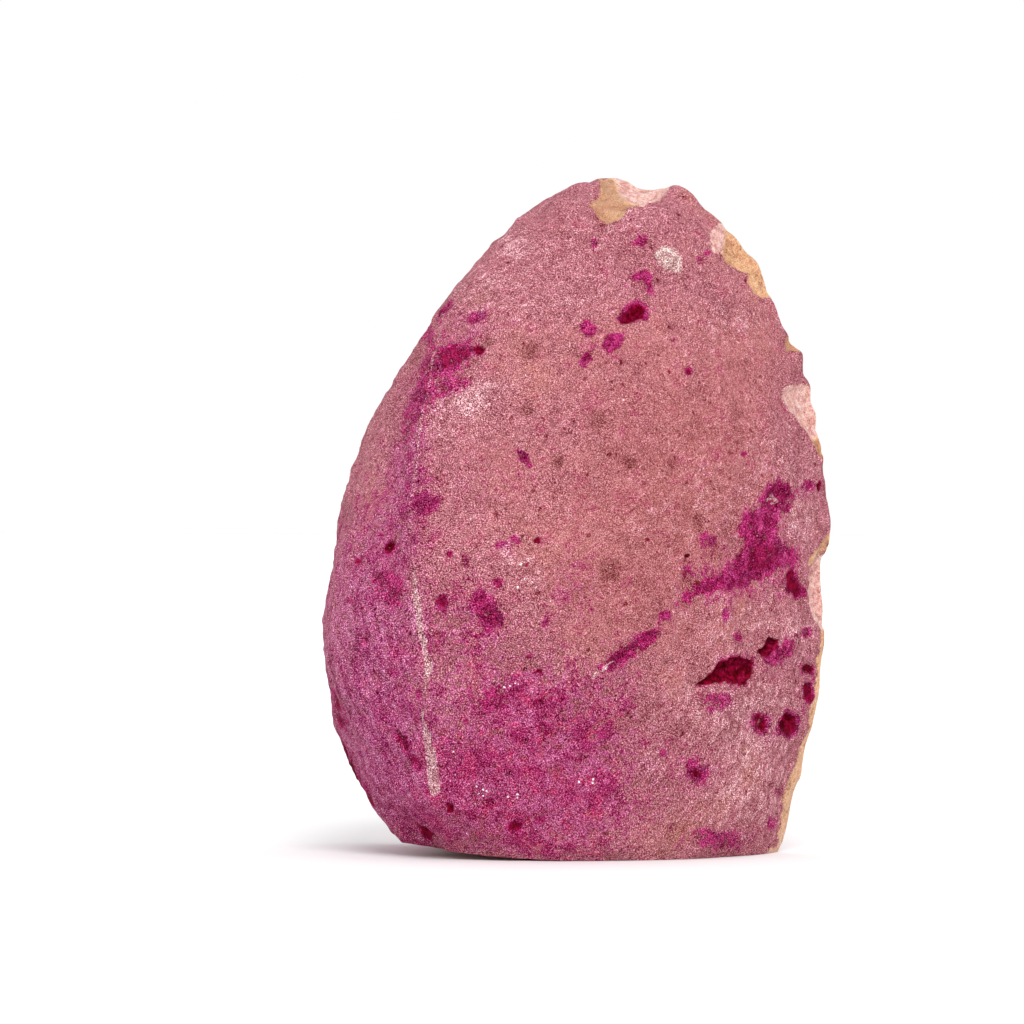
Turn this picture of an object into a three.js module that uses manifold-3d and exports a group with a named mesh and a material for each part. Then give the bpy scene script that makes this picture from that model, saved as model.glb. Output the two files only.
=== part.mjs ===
// A dyed agate geode, sawn once through the nodule and once across its foot, so that it stands on a flat
// base with its sawn face upright. Millimetres, +Z up, the rind towards -Y and the sawn face towards +Y.
import * as THREE from "three";
import { mergeVertices } from "three/addons/utils/BufferGeometryUtils.js";
import Module from "manifold-3d";

const wasm = await Module();
wasm.setup();

// ---- The nodule ----

// Level sections from below the base cut to near the top: a height, how far the rind lies left and right
// of the upright axis, and how far it bulges in front of the saw cut.
const SECTIONS = [
  { z: -14, left: -14, right: 33, front: 29 },
  { z: 0, left: -27.5, right: 42, front: 41 },
  { z: 14, left: -41, right: 45.5, front: 49.5 },
  { z: 40, left: -47, right: 50, front: 55 },
  { z: 62, left: -45, right: 50.5, front: 53 },
  { z: 84, left: -37.5, right: 49, front: 46 },
  { z: 104, left: -26.5, right: 41, front: 34.5 },
  { z: 118, left: -16, right: 33.5, front: 22.5 },
  { z: 126, left: -8, right: 25, front: 13 },
];
const AXIS_BEHIND_CUT = 9; // the whole nodule's middle lies this far behind the saw cut
const TOP_POLE = new THREE.Vector3(10, AXIS_BEHIND_CUT, 132.5);
const FOOT_POLE = new THREE.Vector3(6, AXIS_BEHIND_CUT, -22);
const BACK_SHARE = 0.8; // depth of the half that was sawn away, as a share of the front's
const SQUARENESS = 2.35; // exponent of the level sections: 2 is an ellipse
const LEFT_HEAVY = 0.16; // how much deeper than the middle the left flank is, as a share

// The crest up the left flank: where it meets the base, how it leans with height, where it fades out.
const CREST = { atFoot: -10, lean: -0.06, halfWidth: 8, height: 1.5, fadeFrom: 92, fadeTo: 110 };

// Lumps of the rind: how far apart they are, how high, and where in the pattern they start.
const SWELLINGS = [
  { wave: 58, height: 0.6, shift: 0.4 },
  { wave: 23, height: 0.3, shift: 1.9 },
  { wave: 11, height: 0.14, shift: 3.1 },
];

const FRONT_STEPS = 46; // facets round the rind, and round the half that was sawn away
const BACK_STEPS = 12;
const RINGS = 46;

// ---- Pits and scars in the rind ----

// Each has a bearing in degrees from the front (-Y) towards +X, a height, its half length and half width
// on the rind, its depth, the turn of its long way from level, and how much of a shallow bowl it is (1 is
// steep, more is shallower at the edge).
const PITS = [
  { bearing: 56, z: 34.6, long: 7, wide: 3, deep: 3.2, turn: 8, bowl: 1.1 }, // the large wedge pit
  { bearing: 60, z: 36.6, long: 3.6, wide: 2.6, deep: 3, turn: 40, bowl: 1.1 },
  { bearing: 70.5, z: 39.8, long: 3, wide: 1.6, deep: 2.2, turn: 50, bowl: 1.1 },
  { bearing: 71, z: 26, long: 1.8, wide: 1.4, deep: 1.3, turn: 90, bowl: 1.2 },
  { bearing: 82, z: 25, long: 2.3, wide: 2, deep: 2, turn: 60, bowl: 1.1 },
  { bearing: 71, z: 68, long: 3.6, wide: 2.6, deep: 1.7, turn: 60, bowl: 1.4 },
  { bearing: 65, z: 57.5, long: 7.5, wide: 4.5, deep: 1.3, turn: 28, bowl: 2.6 }, // the dyed scar
  { bearing: 53, z: 52.5, long: 6, wide: 2.2, deep: 1, turn: 18, bowl: 1.8 },
  { bearing: 78, z: 52.3, long: 2.6, wide: 2, deep: 1.2, turn: 70, bowl: 1.4 },
  { bearing: 36, z: 103, long: 3, wide: 1.9, deep: 1.8, turn: 25, bowl: 1.2 },
  { bearing: 27, z: 97, long: 2, wide: 1.2, deep: 1, turn: 60, bowl: 1.3 },
  { bearing: 31, z: 40, long: 5.6, wide: 1.2, deep: 1.1, turn: 32, bowl: 1.3 }, // the slit
  { bearing: -23, z: 93, long: 3.4, wide: 1.8, deep: 1.1, turn: 50, bowl: 1.6 },
  { bearing: 3, z: 47, long: 3.2, wide: 2, deep: 0.9, turn: -35, bowl: 1.7 },
  { bearing: -45, z: 26, long: 4.5, wide: 1.6, deep: 1.3, turn: 70, bowl: 1.4 },
  { bearing: -62, z: 40, long: 3.4, wide: 2.4, deep: 1.6, turn: 35, bowl: 1.4 },
  { bearing: -74, z: 61, long: 5, wide: 2.6, deep: 1.3, turn: 62, bowl: 1.8 },
  { bearing: -58, z: 72, long: 2.2, wide: 1.6, deep: 1.3, turn: 10, bowl: 1.2 },
];
const PIT_AXIS = new THREE.Vector3(2, -5, 0); // bearings are taken round this upright line

// ---- Chips out of the rim of the sawn face ----

// Each has a direction in degrees in the plane of the face, from +X towards +Z, how far its middle lies
// in front of the face, half its length along the rim and half its width, its depth, turn and bowl.
const CHIPS = [
  { facing: 79, inFront: 5, long: 6.8, wide: 6, deep: 2.1, turn: 4, bowl: 3 }, // across the top
  { facing: 86, inFront: 12, long: 3.4, wide: 4, deep: 0.9, turn: 0, bowl: 3 },
  { facing: 60, inFront: 1.5, long: 7, wide: 5.5, deep: 1.2, turn: 6, bowl: 3 },
  { facing: 54, inFront: 0.5, long: 3.5, wide: 3.5, deep: 0.7, turn: -8, bowl: 3 },
  { facing: 43, inFront: 0.5, long: 2.6, wide: 3, deep: 0.7, turn: 0, bowl: 2.5 },
  { facing: 30, inFront: 2, long: 6, wide: 6, deep: 0.8, turn: 10, bowl: 4 },
  { facing: -9, inFront: 1, long: 8, wide: 5, deep: 1.5, turn: 0, bowl: 4 },
  { facing: -57, inFront: 0, long: 2.6, wide: 4, deep: 0.8, turn: 0, bowl: 3 }, // at the base
  { facing: 112, inFront: 0.5, long: 4, wide: 3, deep: 0.7, turn: 5, bowl: 3 },
  { facing: 141, inFront: 0.5, long: 5.5, wide: 3.4, deep: 1, turn: -6, bowl: 3 },
  { facing: 187, inFront: 0, long: 4.5, wide: 3, deep: 0.8, turn: 4, bowl: 3 },
];
const CHIP_AXIS = new THREE.Vector3(2, 0, 60); // directions are taken round this line

// ---- The hollow and the crystals that line it ----

const HOLLOW = { x: -1, z: 59, halfWidth: 16.5, halfHeight: 26, deep: 22 };
const CRUST_GAP = 0.3; // the crust stays this far off the stone, so that the two solids don't touch
const CRUST_THICK = 2.6;
const CRYSTALS = 44;
const CRYSTAL_RADIUS = { least: 2.4, most: 4.6 };
const CRYSTAL_LEAN = 0.4; // how far a crystal may lean away from the wall's normal
const SEED = 13;

// ---- Helpers ----

// A closed three.js geometry as a manifold-3d solid.
function toSolid(geometry) {
  const bare = geometry.index ? geometry.toNonIndexed() : geometry.clone();
  bare.deleteAttribute("normal");
  bare.deleteAttribute("uv");
  const merged = mergeVertices(bare, 1e-4);
  return new wasm.Manifold(
    new wasm.Mesh({
      numProp: 3,
      vertProperties: new Float32Array(merged.attributes.position.array),
      triVerts: new Uint32Array(merged.index.array),
    }),
  );
}

function toGeometry(solid) {
  const mesh = solid.getMesh();
  const geometry = new THREE.BufferGeometry();
  geometry.setAttribute("position", new THREE.BufferAttribute(mesh.vertProperties, 3));
  geometry.setIndex(new THREE.BufferAttribute(mesh.triVerts, 1));
  const flat = geometry.toNonIndexed();
  flat.computeVertexNormals();
  return flat;
}

function box(width, depth, height, x, y, z) {
  return toSolid(new THREE.BoxGeometry(width, depth, height).translate(x, y, z));
}

// Moves each corner of a geometry to where the function sends it.
function reshape(geometry, move) {
  const position = geometry.attributes.position;
  const point = new THREE.Vector3();
  for (let i = 0; i < position.count; i++) {
    point.fromBufferAttribute(position, i);
    move(point);
    position.setXYZ(i, point.x, point.y, point.z);
  }
  return geometry;
}

// A wavy field between about -1.5 and 1.5 that looks the same in all directions.
function waves(x, y, z, wave, shift) {
  const k = (2 * Math.PI) / wave;
  const u = k * x + shift;
  const v = k * y + 2 * shift;
  const w = k * z + 3 * shift;
  return Math.sin(u) * Math.cos(v) + Math.sin(v) * Math.cos(w) + Math.sin(w) * Math.cos(u);
}

// Repeatable random numbers from 0 to 1.
function seeded(seed) {
  let state = seed;
  return () => {
    state = (Math.imul(state, 1664525) + 1013904223) >>> 0;
    return state / 4294967296;
  };
}

// ---- Building the nodule ----

// A curve up one side of the nodule: the horizontal reach against the height, from pole to pole.
function rail(reach, atFoot, atTop) {
  return new THREE.SplineCurve([
    new THREE.Vector2(atFoot, FOOT_POLE.z),
    ...SECTIONS.map((section) => new THREE.Vector2(reach(section), section.z)),
    new THREE.Vector2(atTop, TOP_POLE.z),
  ]);
}

const leftRail = rail((section) => section.left, FOOT_POLE.x, TOP_POLE.x);
const rightRail = rail((section) => section.right, FOOT_POLE.x, TOP_POLE.x);
const frontRail = rail((section) => section.front, -AXIS_BEHIND_CUT, -AXIS_BEHIND_CUT);

function crestHeight(point) {
  if (point.y > 0) return 0;
  const middle = CREST.atFoot + CREST.lean * point.z;
  const across = Math.abs(point.x - middle) / CREST.halfWidth;
  const fade = THREE.MathUtils.smoothstep(CREST.fadeTo - point.z, 0, CREST.fadeTo - CREST.fadeFrom);
  return CREST.height * Math.max(0, 1 - across) * fade;
}

// The angle runs from 0 at the right end of a section, round the front, to PI at its left end.
function pointOnNodule(t, angle) {
  const left = leftRail.getPoint(t);
  const right = rightRail.getPoint(t);
  const middle = (left.x + right.x) / 2;
  const halfWidth = (right.x - left.x) / 2;
  const front = frontRail.getPoint(t).x + AXIS_BEHIND_CUT;
  const power = 2 / SQUARENESS;
  const c = Math.cos(angle);
  const s = Math.sin(angle);
  const across = Math.sign(c) * Math.abs(c) ** power;
  const deep = Math.sign(s) * Math.abs(s) ** power;
  const depth = deep > 0 ? front * (1 - LEFT_HEAVY * across) : front * BACK_SHARE;
  const point = new THREE.Vector3(middle + halfWidth * across, AXIS_BEHIND_CUT - depth * deep, left.y);
  let raised = crestHeight(point);
  for (const { wave, height, shift } of SWELLINGS) {
    raised += height * waves(point.x, point.y, point.z, wave, shift);
  }
  const outwards = new THREE.Vector3(across, -deep, 0).normalize();
  return point.addScaledVector(outwards, raised);
}

function noduleGeometry() {
  const angles = [];
  for (let i = 0; i < FRONT_STEPS; i++) angles.push((Math.PI * i) / FRONT_STEPS);
  for (let i = 0; i < BACK_STEPS; i++) angles.push(Math.PI * (1 + i / BACK_STEPS));
  const around = angles.length;
  const points = [FOOT_POLE];
  for (let ring = 1; ring < RINGS; ring++) {
    const t = rightRail.getUtoTmapping(ring / RINGS);
    for (const angle of angles) points.push(pointOnNodule(t, angle));
  }
  points.push(TOP_POLE);
  const last = points.length - 1;
  const at = (ring, i) => 1 + (ring - 1) * around + (i % around);
  const faces = [];
  for (let i = 0; i < around; i++) {
    faces.push(0, at(1, i), at(1, i + 1));
    faces.push(last, at(RINGS - 1, i + 1), at(RINGS - 1, i));
    for (let ring = 1; ring < RINGS - 1; ring++) {
      faces.push(at(ring, i), at(ring + 1, i), at(ring + 1, i + 1));
      faces.push(at(ring, i), at(ring + 1, i + 1), at(ring, i + 1));
    }
  }
  const geometry = new THREE.BufferGeometry().setFromPoints(points);
  geometry.setIndex(faces);
  return geometry;
}

const noduleShape = noduleGeometry();
const noduleMesh = new THREE.Mesh(noduleShape, new THREE.MeshBasicMaterial({ side: THREE.DoubleSide }));

// Where a line from outside towards a point first meets the nodule, and the rind's normal there.
function onRind(target, outwards) {
  const start = target.clone().addScaledVector(outwards, 200);
  const caster = new THREE.Raycaster(start, outwards.clone().negate());
  const hit = caster.intersectObject(noduleMesh)[0];
  const normal = hit.face.normal.clone();
  if (normal.dot(outwards) < 0) normal.negate();
  return { point: hit.point, normal };
}

// A lumpy scoop that leaves a dent of the given half length, half width and depth in the rind.
function scoop({ point, normal }, level, { long, wide, deep, turn, bowl }) {
  const radius = deep * bowl;
  const lift = radius - deep;
  const spread = 1 / Math.sqrt(1 - (lift / radius) ** 2);
  const along = level.clone().addScaledVector(normal, -level.dot(normal)).normalize();
  along.applyAxisAngle(normal, THREE.MathUtils.degToRad(turn));
  const across = new THREE.Vector3().crossVectors(normal, along);
  const detail = Math.round(long > 3 ? bowl : 1);
  const shape = reshape(new THREE.IcosahedronGeometry(1, detail), (p) => {
    p.multiplyScalar(1 + 0.09 * waves(p.x, p.y, p.z, 2.1, point.z));
    p.multiply(new THREE.Vector3(long * spread, wide * spread, radius));
  });
  const place = new THREE.Matrix4().makeBasis(along, across, normal);
  place.setPosition(point.clone().addScaledVector(normal, lift));
  return toSolid(shape.applyMatrix4(place));
}

function pitSolid(pit) {
  const angle = THREE.MathUtils.degToRad(pit.bearing);
  const outwards = new THREE.Vector3(Math.sin(angle), -Math.cos(angle), 0);
  const level = new THREE.Vector3(Math.cos(angle), Math.sin(angle), 0);
  const target = PIT_AXIS.clone().setZ(pit.z);
  return scoop(onRind(target, outwards), level, pit);
}

function chipSolid(chip) {
  const angle = THREE.MathUtils.degToRad(chip.facing);
  const outwards = new THREE.Vector3(Math.cos(angle), 0, Math.sin(angle));
  const alongRim = new THREE.Vector3(-Math.sin(angle), 0, Math.cos(angle));
  const target = CHIP_AXIS.clone().setY(-chip.inFront);
  return scoop(onRind(target, outwards), alongRim, chip);
}

// ---- Building the hollow and its crust ----

// The hollow's body, drawn in from its wall by the given distance.
function hollowBody(inset) {
  const size = new THREE.Vector3(HOLLOW.halfWidth - inset, HOLLOW.deep - inset, HOLLOW.halfHeight - inset);
  const shape = reshape(new THREE.IcosahedronGeometry(1, 4), (p) => {
    p.multiplyScalar(1 + 0.08 * waves(p.x, p.y, p.z, 2.6, 0.7) + 0.03 * waves(p.x, p.y, p.z, 1.3, 2));
    p.multiply(size);
  });
  return toSolid(shape.translate(HOLLOW.x, 0, HOLLOW.z));
}

// A six-sided crystal with a pointed end at +Y of its own axis, sunk below its root.
function crystalGeometry(radius, length, sunk) {
  const profile = [
    new THREE.Vector2(0, -sunk),
    new THREE.Vector2(radius * 0.9, -sunk),
    new THREE.Vector2(radius, length - 1.15 * radius),
    new THREE.Vector2(0, length),
  ];
  return new THREE.LatheGeometry(profile, 6);
}

function crystalSolids() {
  const random = seeded(SEED);
  const solids = [];
  const golden = Math.PI * (3 - Math.sqrt(5));
  const inset = CRUST_GAP + CRUST_THICK;
  const size = new THREE.Vector3(HOLLOW.halfWidth - inset, HOLLOW.deep - inset, HOLLOW.halfHeight - inset);
  for (let i = 0; i < CRYSTALS; i++) {
    // Evenly spread over the half of a sphere that lies in front of the saw cut.
    const towardsFront = -1 + (i + 0.5) / CRYSTALS + 0.04;
    const ring = Math.sqrt(1 - Math.min(1, towardsFront ** 2));
    const on = new THREE.Vector3(ring * Math.cos(i * golden), towardsFront, ring * Math.sin(i * golden));
    const root = on.clone().multiply(size);
    const inwards = on.clone().divide(size).normalize().negate();
    const lean = new THREE.Vector3(random() - 0.5, random() - 0.5, random() - 0.5);
    inwards.addScaledVector(lean, 2 * CRYSTAL_LEAN).normalize();
    const share = random() ** 1.6;
    const radius = THREE.MathUtils.lerp(CRYSTAL_RADIUS.least, CRYSTAL_RADIUS.most, share);
    const length = radius * (1.5 + 1.1 * random());
    const geometry = crystalGeometry(radius, length, CRUST_THICK * 0.8);
    geometry.rotateY(random() * Math.PI);
    const stand = new THREE.Quaternion().setFromUnitVectors(new THREE.Vector3(0, 1, 0), inwards);
    geometry.applyQuaternion(stand);
    geometry.translate(root.x + HOLLOW.x, root.y, root.z + HOLLOW.z);
    solids.push(toSolid(geometry));
  }
  return solids;
}

const sawnAway = box(300, 200, 400, 0, 100, 0);

function stoneSolid() {
  let stone = toSolid(noduleShape);
  for (const chip of CHIPS) stone = stone.subtract(chipSolid(chip));
  for (const pit of PITS) stone = stone.subtract(pitSolid(pit));
  stone = stone.subtract(hollowBody(0));
  stone = stone.subtract(sawnAway);
  return stone.subtract(box(300, 300, 100, 0, 0, -50));
}

function crustSolid() {
  const lining = hollowBody(CRUST_GAP);
  let crust = lining.subtract(hollowBody(CRUST_GAP + CRUST_THICK));
  for (const crystal of crystalSolids()) crust = crust.add(crystal);
  return crust.intersect(lining).subtract(sawnAway);
}

function addPart(group, name, solid, material) {
  const mesh = new THREE.Mesh(toGeometry(solid), new THREE.MeshStandardMaterial(material));
  mesh.name = name;
  group.add(mesh);
}

const group = new THREE.Group();
addPart(group, "agate_stone", stoneSolid(), { color: 0xc07884, roughness: 0.85 });
addPart(group, "quartz_crust", crustSolid(), { color: 0xe8cdd6, roughness: 0.15 });

// The middle of the base's outline box comes to the origin.
const bounds = new THREE.Box3().setFromObject(group);
group.position.set(-(bounds.min.x + bounds.max.x) / 2, -(bounds.min.y + bounds.max.y) / 2, -bounds.min.z);

export default group;
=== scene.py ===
# A dyed agate geode, sawn once through the nodule and once across its foot: the rind, the polished sawn
# face with its bands, the sawn base, and the quartz crystals that line the hollow. Lengths are in
# millimetres until a mesh is made. Meshes and finishes are in metres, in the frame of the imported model.
import math
from types import SimpleNamespace

import bmesh
import bpy
import numpy as np
from mathutils import Matrix, Vector, noise
from mathutils.bvhtree import BVHTree


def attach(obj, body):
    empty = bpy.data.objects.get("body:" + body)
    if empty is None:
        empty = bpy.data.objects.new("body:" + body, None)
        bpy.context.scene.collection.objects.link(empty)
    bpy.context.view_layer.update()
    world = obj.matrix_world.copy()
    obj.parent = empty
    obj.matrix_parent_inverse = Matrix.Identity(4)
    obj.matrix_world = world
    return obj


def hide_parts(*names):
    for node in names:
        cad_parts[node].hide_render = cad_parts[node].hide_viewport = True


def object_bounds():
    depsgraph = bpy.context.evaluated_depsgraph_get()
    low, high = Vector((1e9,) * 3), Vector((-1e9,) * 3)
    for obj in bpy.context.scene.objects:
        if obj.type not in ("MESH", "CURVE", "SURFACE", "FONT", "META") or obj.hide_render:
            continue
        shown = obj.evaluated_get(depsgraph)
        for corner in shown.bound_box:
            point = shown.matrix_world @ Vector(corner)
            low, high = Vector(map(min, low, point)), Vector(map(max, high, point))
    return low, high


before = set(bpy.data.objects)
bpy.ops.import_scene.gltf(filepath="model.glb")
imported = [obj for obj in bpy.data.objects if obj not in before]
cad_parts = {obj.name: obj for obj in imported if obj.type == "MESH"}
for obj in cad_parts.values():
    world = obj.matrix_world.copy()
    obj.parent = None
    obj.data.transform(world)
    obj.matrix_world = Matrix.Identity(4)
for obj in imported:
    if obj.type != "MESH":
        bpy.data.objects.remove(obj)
CAD_LOW, CAD_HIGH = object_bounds()

MM = 0.001

# ---- Camera ----

AZIMUTH, ELEVATION = math.radians(20.0), math.radians(0.3)
LENS, SENSOR = 200.0, 36.0
AIM = np.array([-4.76, -1.73, 65.46])
DISTANCE = 1080.7
VIEW_PIXELS = 1024  # the view's width and height; the marks below are placed in these pixels
FOCAL = VIEW_PIXELS * LENS / SENSOR
BACK = np.array([
    math.sin(AZIMUTH) * math.cos(ELEVATION),
    -math.cos(AZIMUTH) * math.cos(ELEVATION),
    math.sin(ELEVATION),
])
RIGHT = np.array([math.cos(AZIMUTH), math.sin(AZIMUTH), 0.0])
UP = np.cross(BACK, RIGHT)
EYE = AIM + BACK * DISTANCE

# ---- The stone's measures ----

FACE_Y = CAD_HIGH.y / MM  # the plane of the sawn face
HEART = np.array([-1.0, FACE_Y, 58.0])  # the rind is sampled on rays towards this point
HOLLOW = np.array([-3.0, FACE_Y, 58.5])  # middle of the hollow's mouth
GRID = 264  # cells across the rind's grid
FACE_RINGS, WALL_RINGS, BASE_ROWS = 16, 7, 12
ALL_ROUND = np.linspace(-np.pi, np.pi, 720, endpoint=False)
RIND, FACE, BASE = 0, 1, 2  # the numbers of the stone's finishes
DENT_REACH = 5.0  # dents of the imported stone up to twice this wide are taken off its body
CREST_HEIGHT = 0.7

# The left end of the foot is raised off the plane of the base.
LIFT = 2.4
LIFT_FROM, LIFT_OVER = 17.0, 37.0  # it starts this far right of the aim, and grows to the left over this much
LIFT_BELOW = 14.0  # it fades out up to this height

CRUST_GAP = 0.12  # between the crust and the wall of the hollow
CRUST_THICK = 2.0
CRYSTALS = 340
ROOT_DEPTH = 1.8  # how deep a crystal is rooted in the crust
POINT_LENGTH = 1.1  # the height of a crystal's pointed end, in radii

SEED = 11
MOST_ROUNDS, CLOSE_ENOUGH = 500, 1e-9  # when carrying on the rind below the base stops
RAY_START = 220.0  # well outside the stone
NO_HIT_REACH = 50.0  # the reach of a ray that misses the stone
LUMP_GAIN = 1.6  # brings the lumps to about -1 to 1


# ---- Small helpers ----

def turned(right, up, angle):
    """Offsets as they lie along and across a mark that is turned by that angle."""
    return right * math.cos(angle) + up * math.sin(angle), -right * math.sin(angle) + up * math.cos(angle)


def smooth_step(low, high, x):
    t = np.clip((x - low) / (high - low), 0.0, 1.0)
    return t * t * (3.0 - 2.0 * t)


def blur_line(values, cells, wrap=False):
    """A Gaussian blur along the first axis."""
    reach = max(1, int(3 * cells))
    weights = np.exp(-0.5 * (np.arange(-reach, reach + 1) / cells) ** 2)
    weights /= weights.sum()
    width = [(reach, reach)] + [(0, 0)] * (values.ndim - 1)
    padded = np.pad(values, width, mode="wrap" if wrap else "edge")
    count = len(values)
    return sum(w * padded[i:i + count] for i, w in enumerate(weights))


def blur(field, cells):
    """A Gaussian blur along both axes."""
    return blur_line(blur_line(field, cells).T, cells).T


def widest(field, cells, pick):
    """The largest (or smallest) value within a square window."""
    for _ in range(2):
        padded = np.pad(field, [(cells, cells), (0, 0)], mode="edge")
        count = len(field)
        out = field
        for i in range(2 * cells + 1):
            out = pick(out, padded[i:i + count])
        field = out.T
    return field


def fill_dents(field, cells):
    """The field with every dent narrower than the window filled in."""
    wide = np.pad(field, 2 * cells, mode="edge")
    wide = widest(widest(wide, cells, np.maximum), cells, np.minimum)
    return wide[2 * cells:-2 * cells, 2 * cells:-2 * cells]


def bending(field):
    """How much the field bends at each cell."""
    padded = np.pad(field, 1, mode="edge")
    return (padded[2:, 1:-1] + padded[:-2, 1:-1] + padded[1:-1, 2:] + padded[1:-1, :-2]) - 4.0 * field


def carry_on(field, known):
    """Continues a field as a thin plate into the cells where it isn't known, by conjugate gradients."""
    out = field.copy()
    left = np.where(known, 0.0, -bending(bending(out)))
    step = left.copy()
    size = np.sum(left * left)
    for _ in range(MOST_ROUNDS):
        bent = np.where(known, 0.0, bending(bending(step)))
        share = size / (np.sum(step * bent) + 1e-30)
        out += share * step
        left -= share * bent
        new_size = np.sum(left * left)
        if new_size < CLOSE_ENOUGH:
            break
        step = left + new_size / size * step
        size = new_size
    return out


def lumps(points, wave, shift=0.0):
    """Smooth noise between about -1 and 1 with lumps of the given size."""
    offset = Vector((shift, 1.7 * shift, 2.3 * shift))
    scale = 1.0 / wave
    return np.array([noise.noise(Vector(p) * scale + offset) for p in points]) * LUMP_GAIN


def in_view(points):
    """Where the points fall in the view, in pixels from its upper left corner."""
    from_eye = points - EYE
    depth = -(from_eye @ BACK)
    return (VIEW_PIXELS / 2 + FOCAL * (from_eye @ RIGHT) / depth,
            VIEW_PIXELS / 2 - FOCAL * (from_eye @ UP) / depth)


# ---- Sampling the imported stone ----

stone_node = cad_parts["agate_stone"]
stone_tree = BVHTree.FromPolygons(
    [v.co / MM for v in stone_node.data.vertices],
    [p.vertices for p in stone_node.data.polygons],
)


def ray_direction(tilt, turn):
    """Away from the heart: tilt is from straight out of the rind, turn is round that from +X to +Z."""
    return np.stack([np.sin(tilt) * np.cos(turn), -np.cos(tilt), np.sin(tilt) * np.sin(turn)], axis=-1)


def reach_along(direction):
    """How far the stone's skin lies from the heart in that direction."""
    start = Vector(HEART + direction * RAY_START)
    start.y = min(start.y, FACE_Y - 0.01)
    hit = stone_tree.ray_cast(start, Vector(-direction))[0]
    return (hit - Vector(HEART)).length if hit else NO_HIT_REACH


def square_to_disc():
    """A square grid spread evenly over a disc: each point's share of the radius, and its turn."""
    line = np.linspace(-1.0, 1.0, GRID + 1)
    a, b = np.meshgrid(line, line, indexing="ij")
    wide = np.abs(a) >= np.abs(b)
    radius = np.where(wide, a, b)
    with np.errstate(divide="ignore", invalid="ignore"):
        turn = np.where(wide, np.pi / 4 * b / a, np.pi / 2 - np.pi / 4 * a / b)
    turn = np.nan_to_num(turn)
    x, y = radius * np.cos(turn), radius * np.sin(turn)
    return np.abs(radius), np.arctan2(y, x)


def sample_rind():
    """Directions over the half space in front of the sawn face, and the rind's reach along each.

    Below the base the rind is carried on as if it hadn't been sawn off; the base is cut later.
    """
    share, turn = square_to_disc()
    directions = ray_direction(share * math.pi / 2, turn)
    reach = np.array([reach_along(d) for d in directions.reshape(-1, 3)]).reshape(share.shape)
    height = HEART[2] + directions[..., 2] * reach
    known = height > 0.1
    reach = carry_on(reach, known)
    to_base = HEART[2] / np.maximum(-directions[..., 2], 1e-6)
    reach = np.where(known, reach, np.maximum(reach, to_base + 0.02))
    return directions, reach, share


def rind_points(directions, reach):
    return HEART + directions * reach[..., None]


def lift_foot(points):
    """The stone with the left end of its foot raised off the plane of the base."""
    across = (points - AIM) @ RIGHT
    end = np.clip((LIFT_FROM - across) / LIFT_OVER, 0.0, 1.0)
    near_foot = 1.0 - smooth_step(0.0, LIFT_BELOW, points[..., 2])
    lifted = points.copy()
    lifted[..., 2] += LIFT * end * end * near_foot
    return lifted


def grid_normals(points):
    across = np.gradient(points, axis=0)
    along = np.gradient(points, axis=1)
    normal = np.cross(across, along)
    normal /= np.linalg.norm(normal, axis=-1, keepdims=True) + 1e-12
    outward = np.sum(normal * (points - HEART), axis=-1, keepdims=True)
    return np.where(outward < 0, -normal, normal)


# ---- Marks on the rind ----

# Where the rind swells or dips at its outline: middle and reach in the view, height in millimetres.
SWELLS = [
    (684, 190, 26, 1.5), (648, 188, 20, 0.5), (735, 240, 22, 1.0), (744, 243, 16, 0.5), (751, 257, 20, 1.5),
    (764, 276, 24, 1.9), (776, 320, 20, -0.6), (797, 358, 18, 1.4), (811, 392, 18, 0.6),
    (815, 414, 14, 0.8), (821, 450, 20, 0.5), (828, 544, 14, 0.7), (822, 624, 26, -0.9),
    (815, 706, 46, 1.3), (786, 816, 40, -0.8), (575, 187, 18, 0.9), (537, 209, 22, -2.1),
    (505, 232, 20, -0.5), (498, 240, 24, 0.3), (440, 312, 26, 0.5), (610, 178, 26, 0.9),
    (344, 516, 14, -0.7), (334, 550, 18, 0.5), (327, 678, 24, 0.5), (348, 752, 26, -0.7),
    (392, 824, 42, 2.6), (412, 842, 30, 1.9),
]

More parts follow.
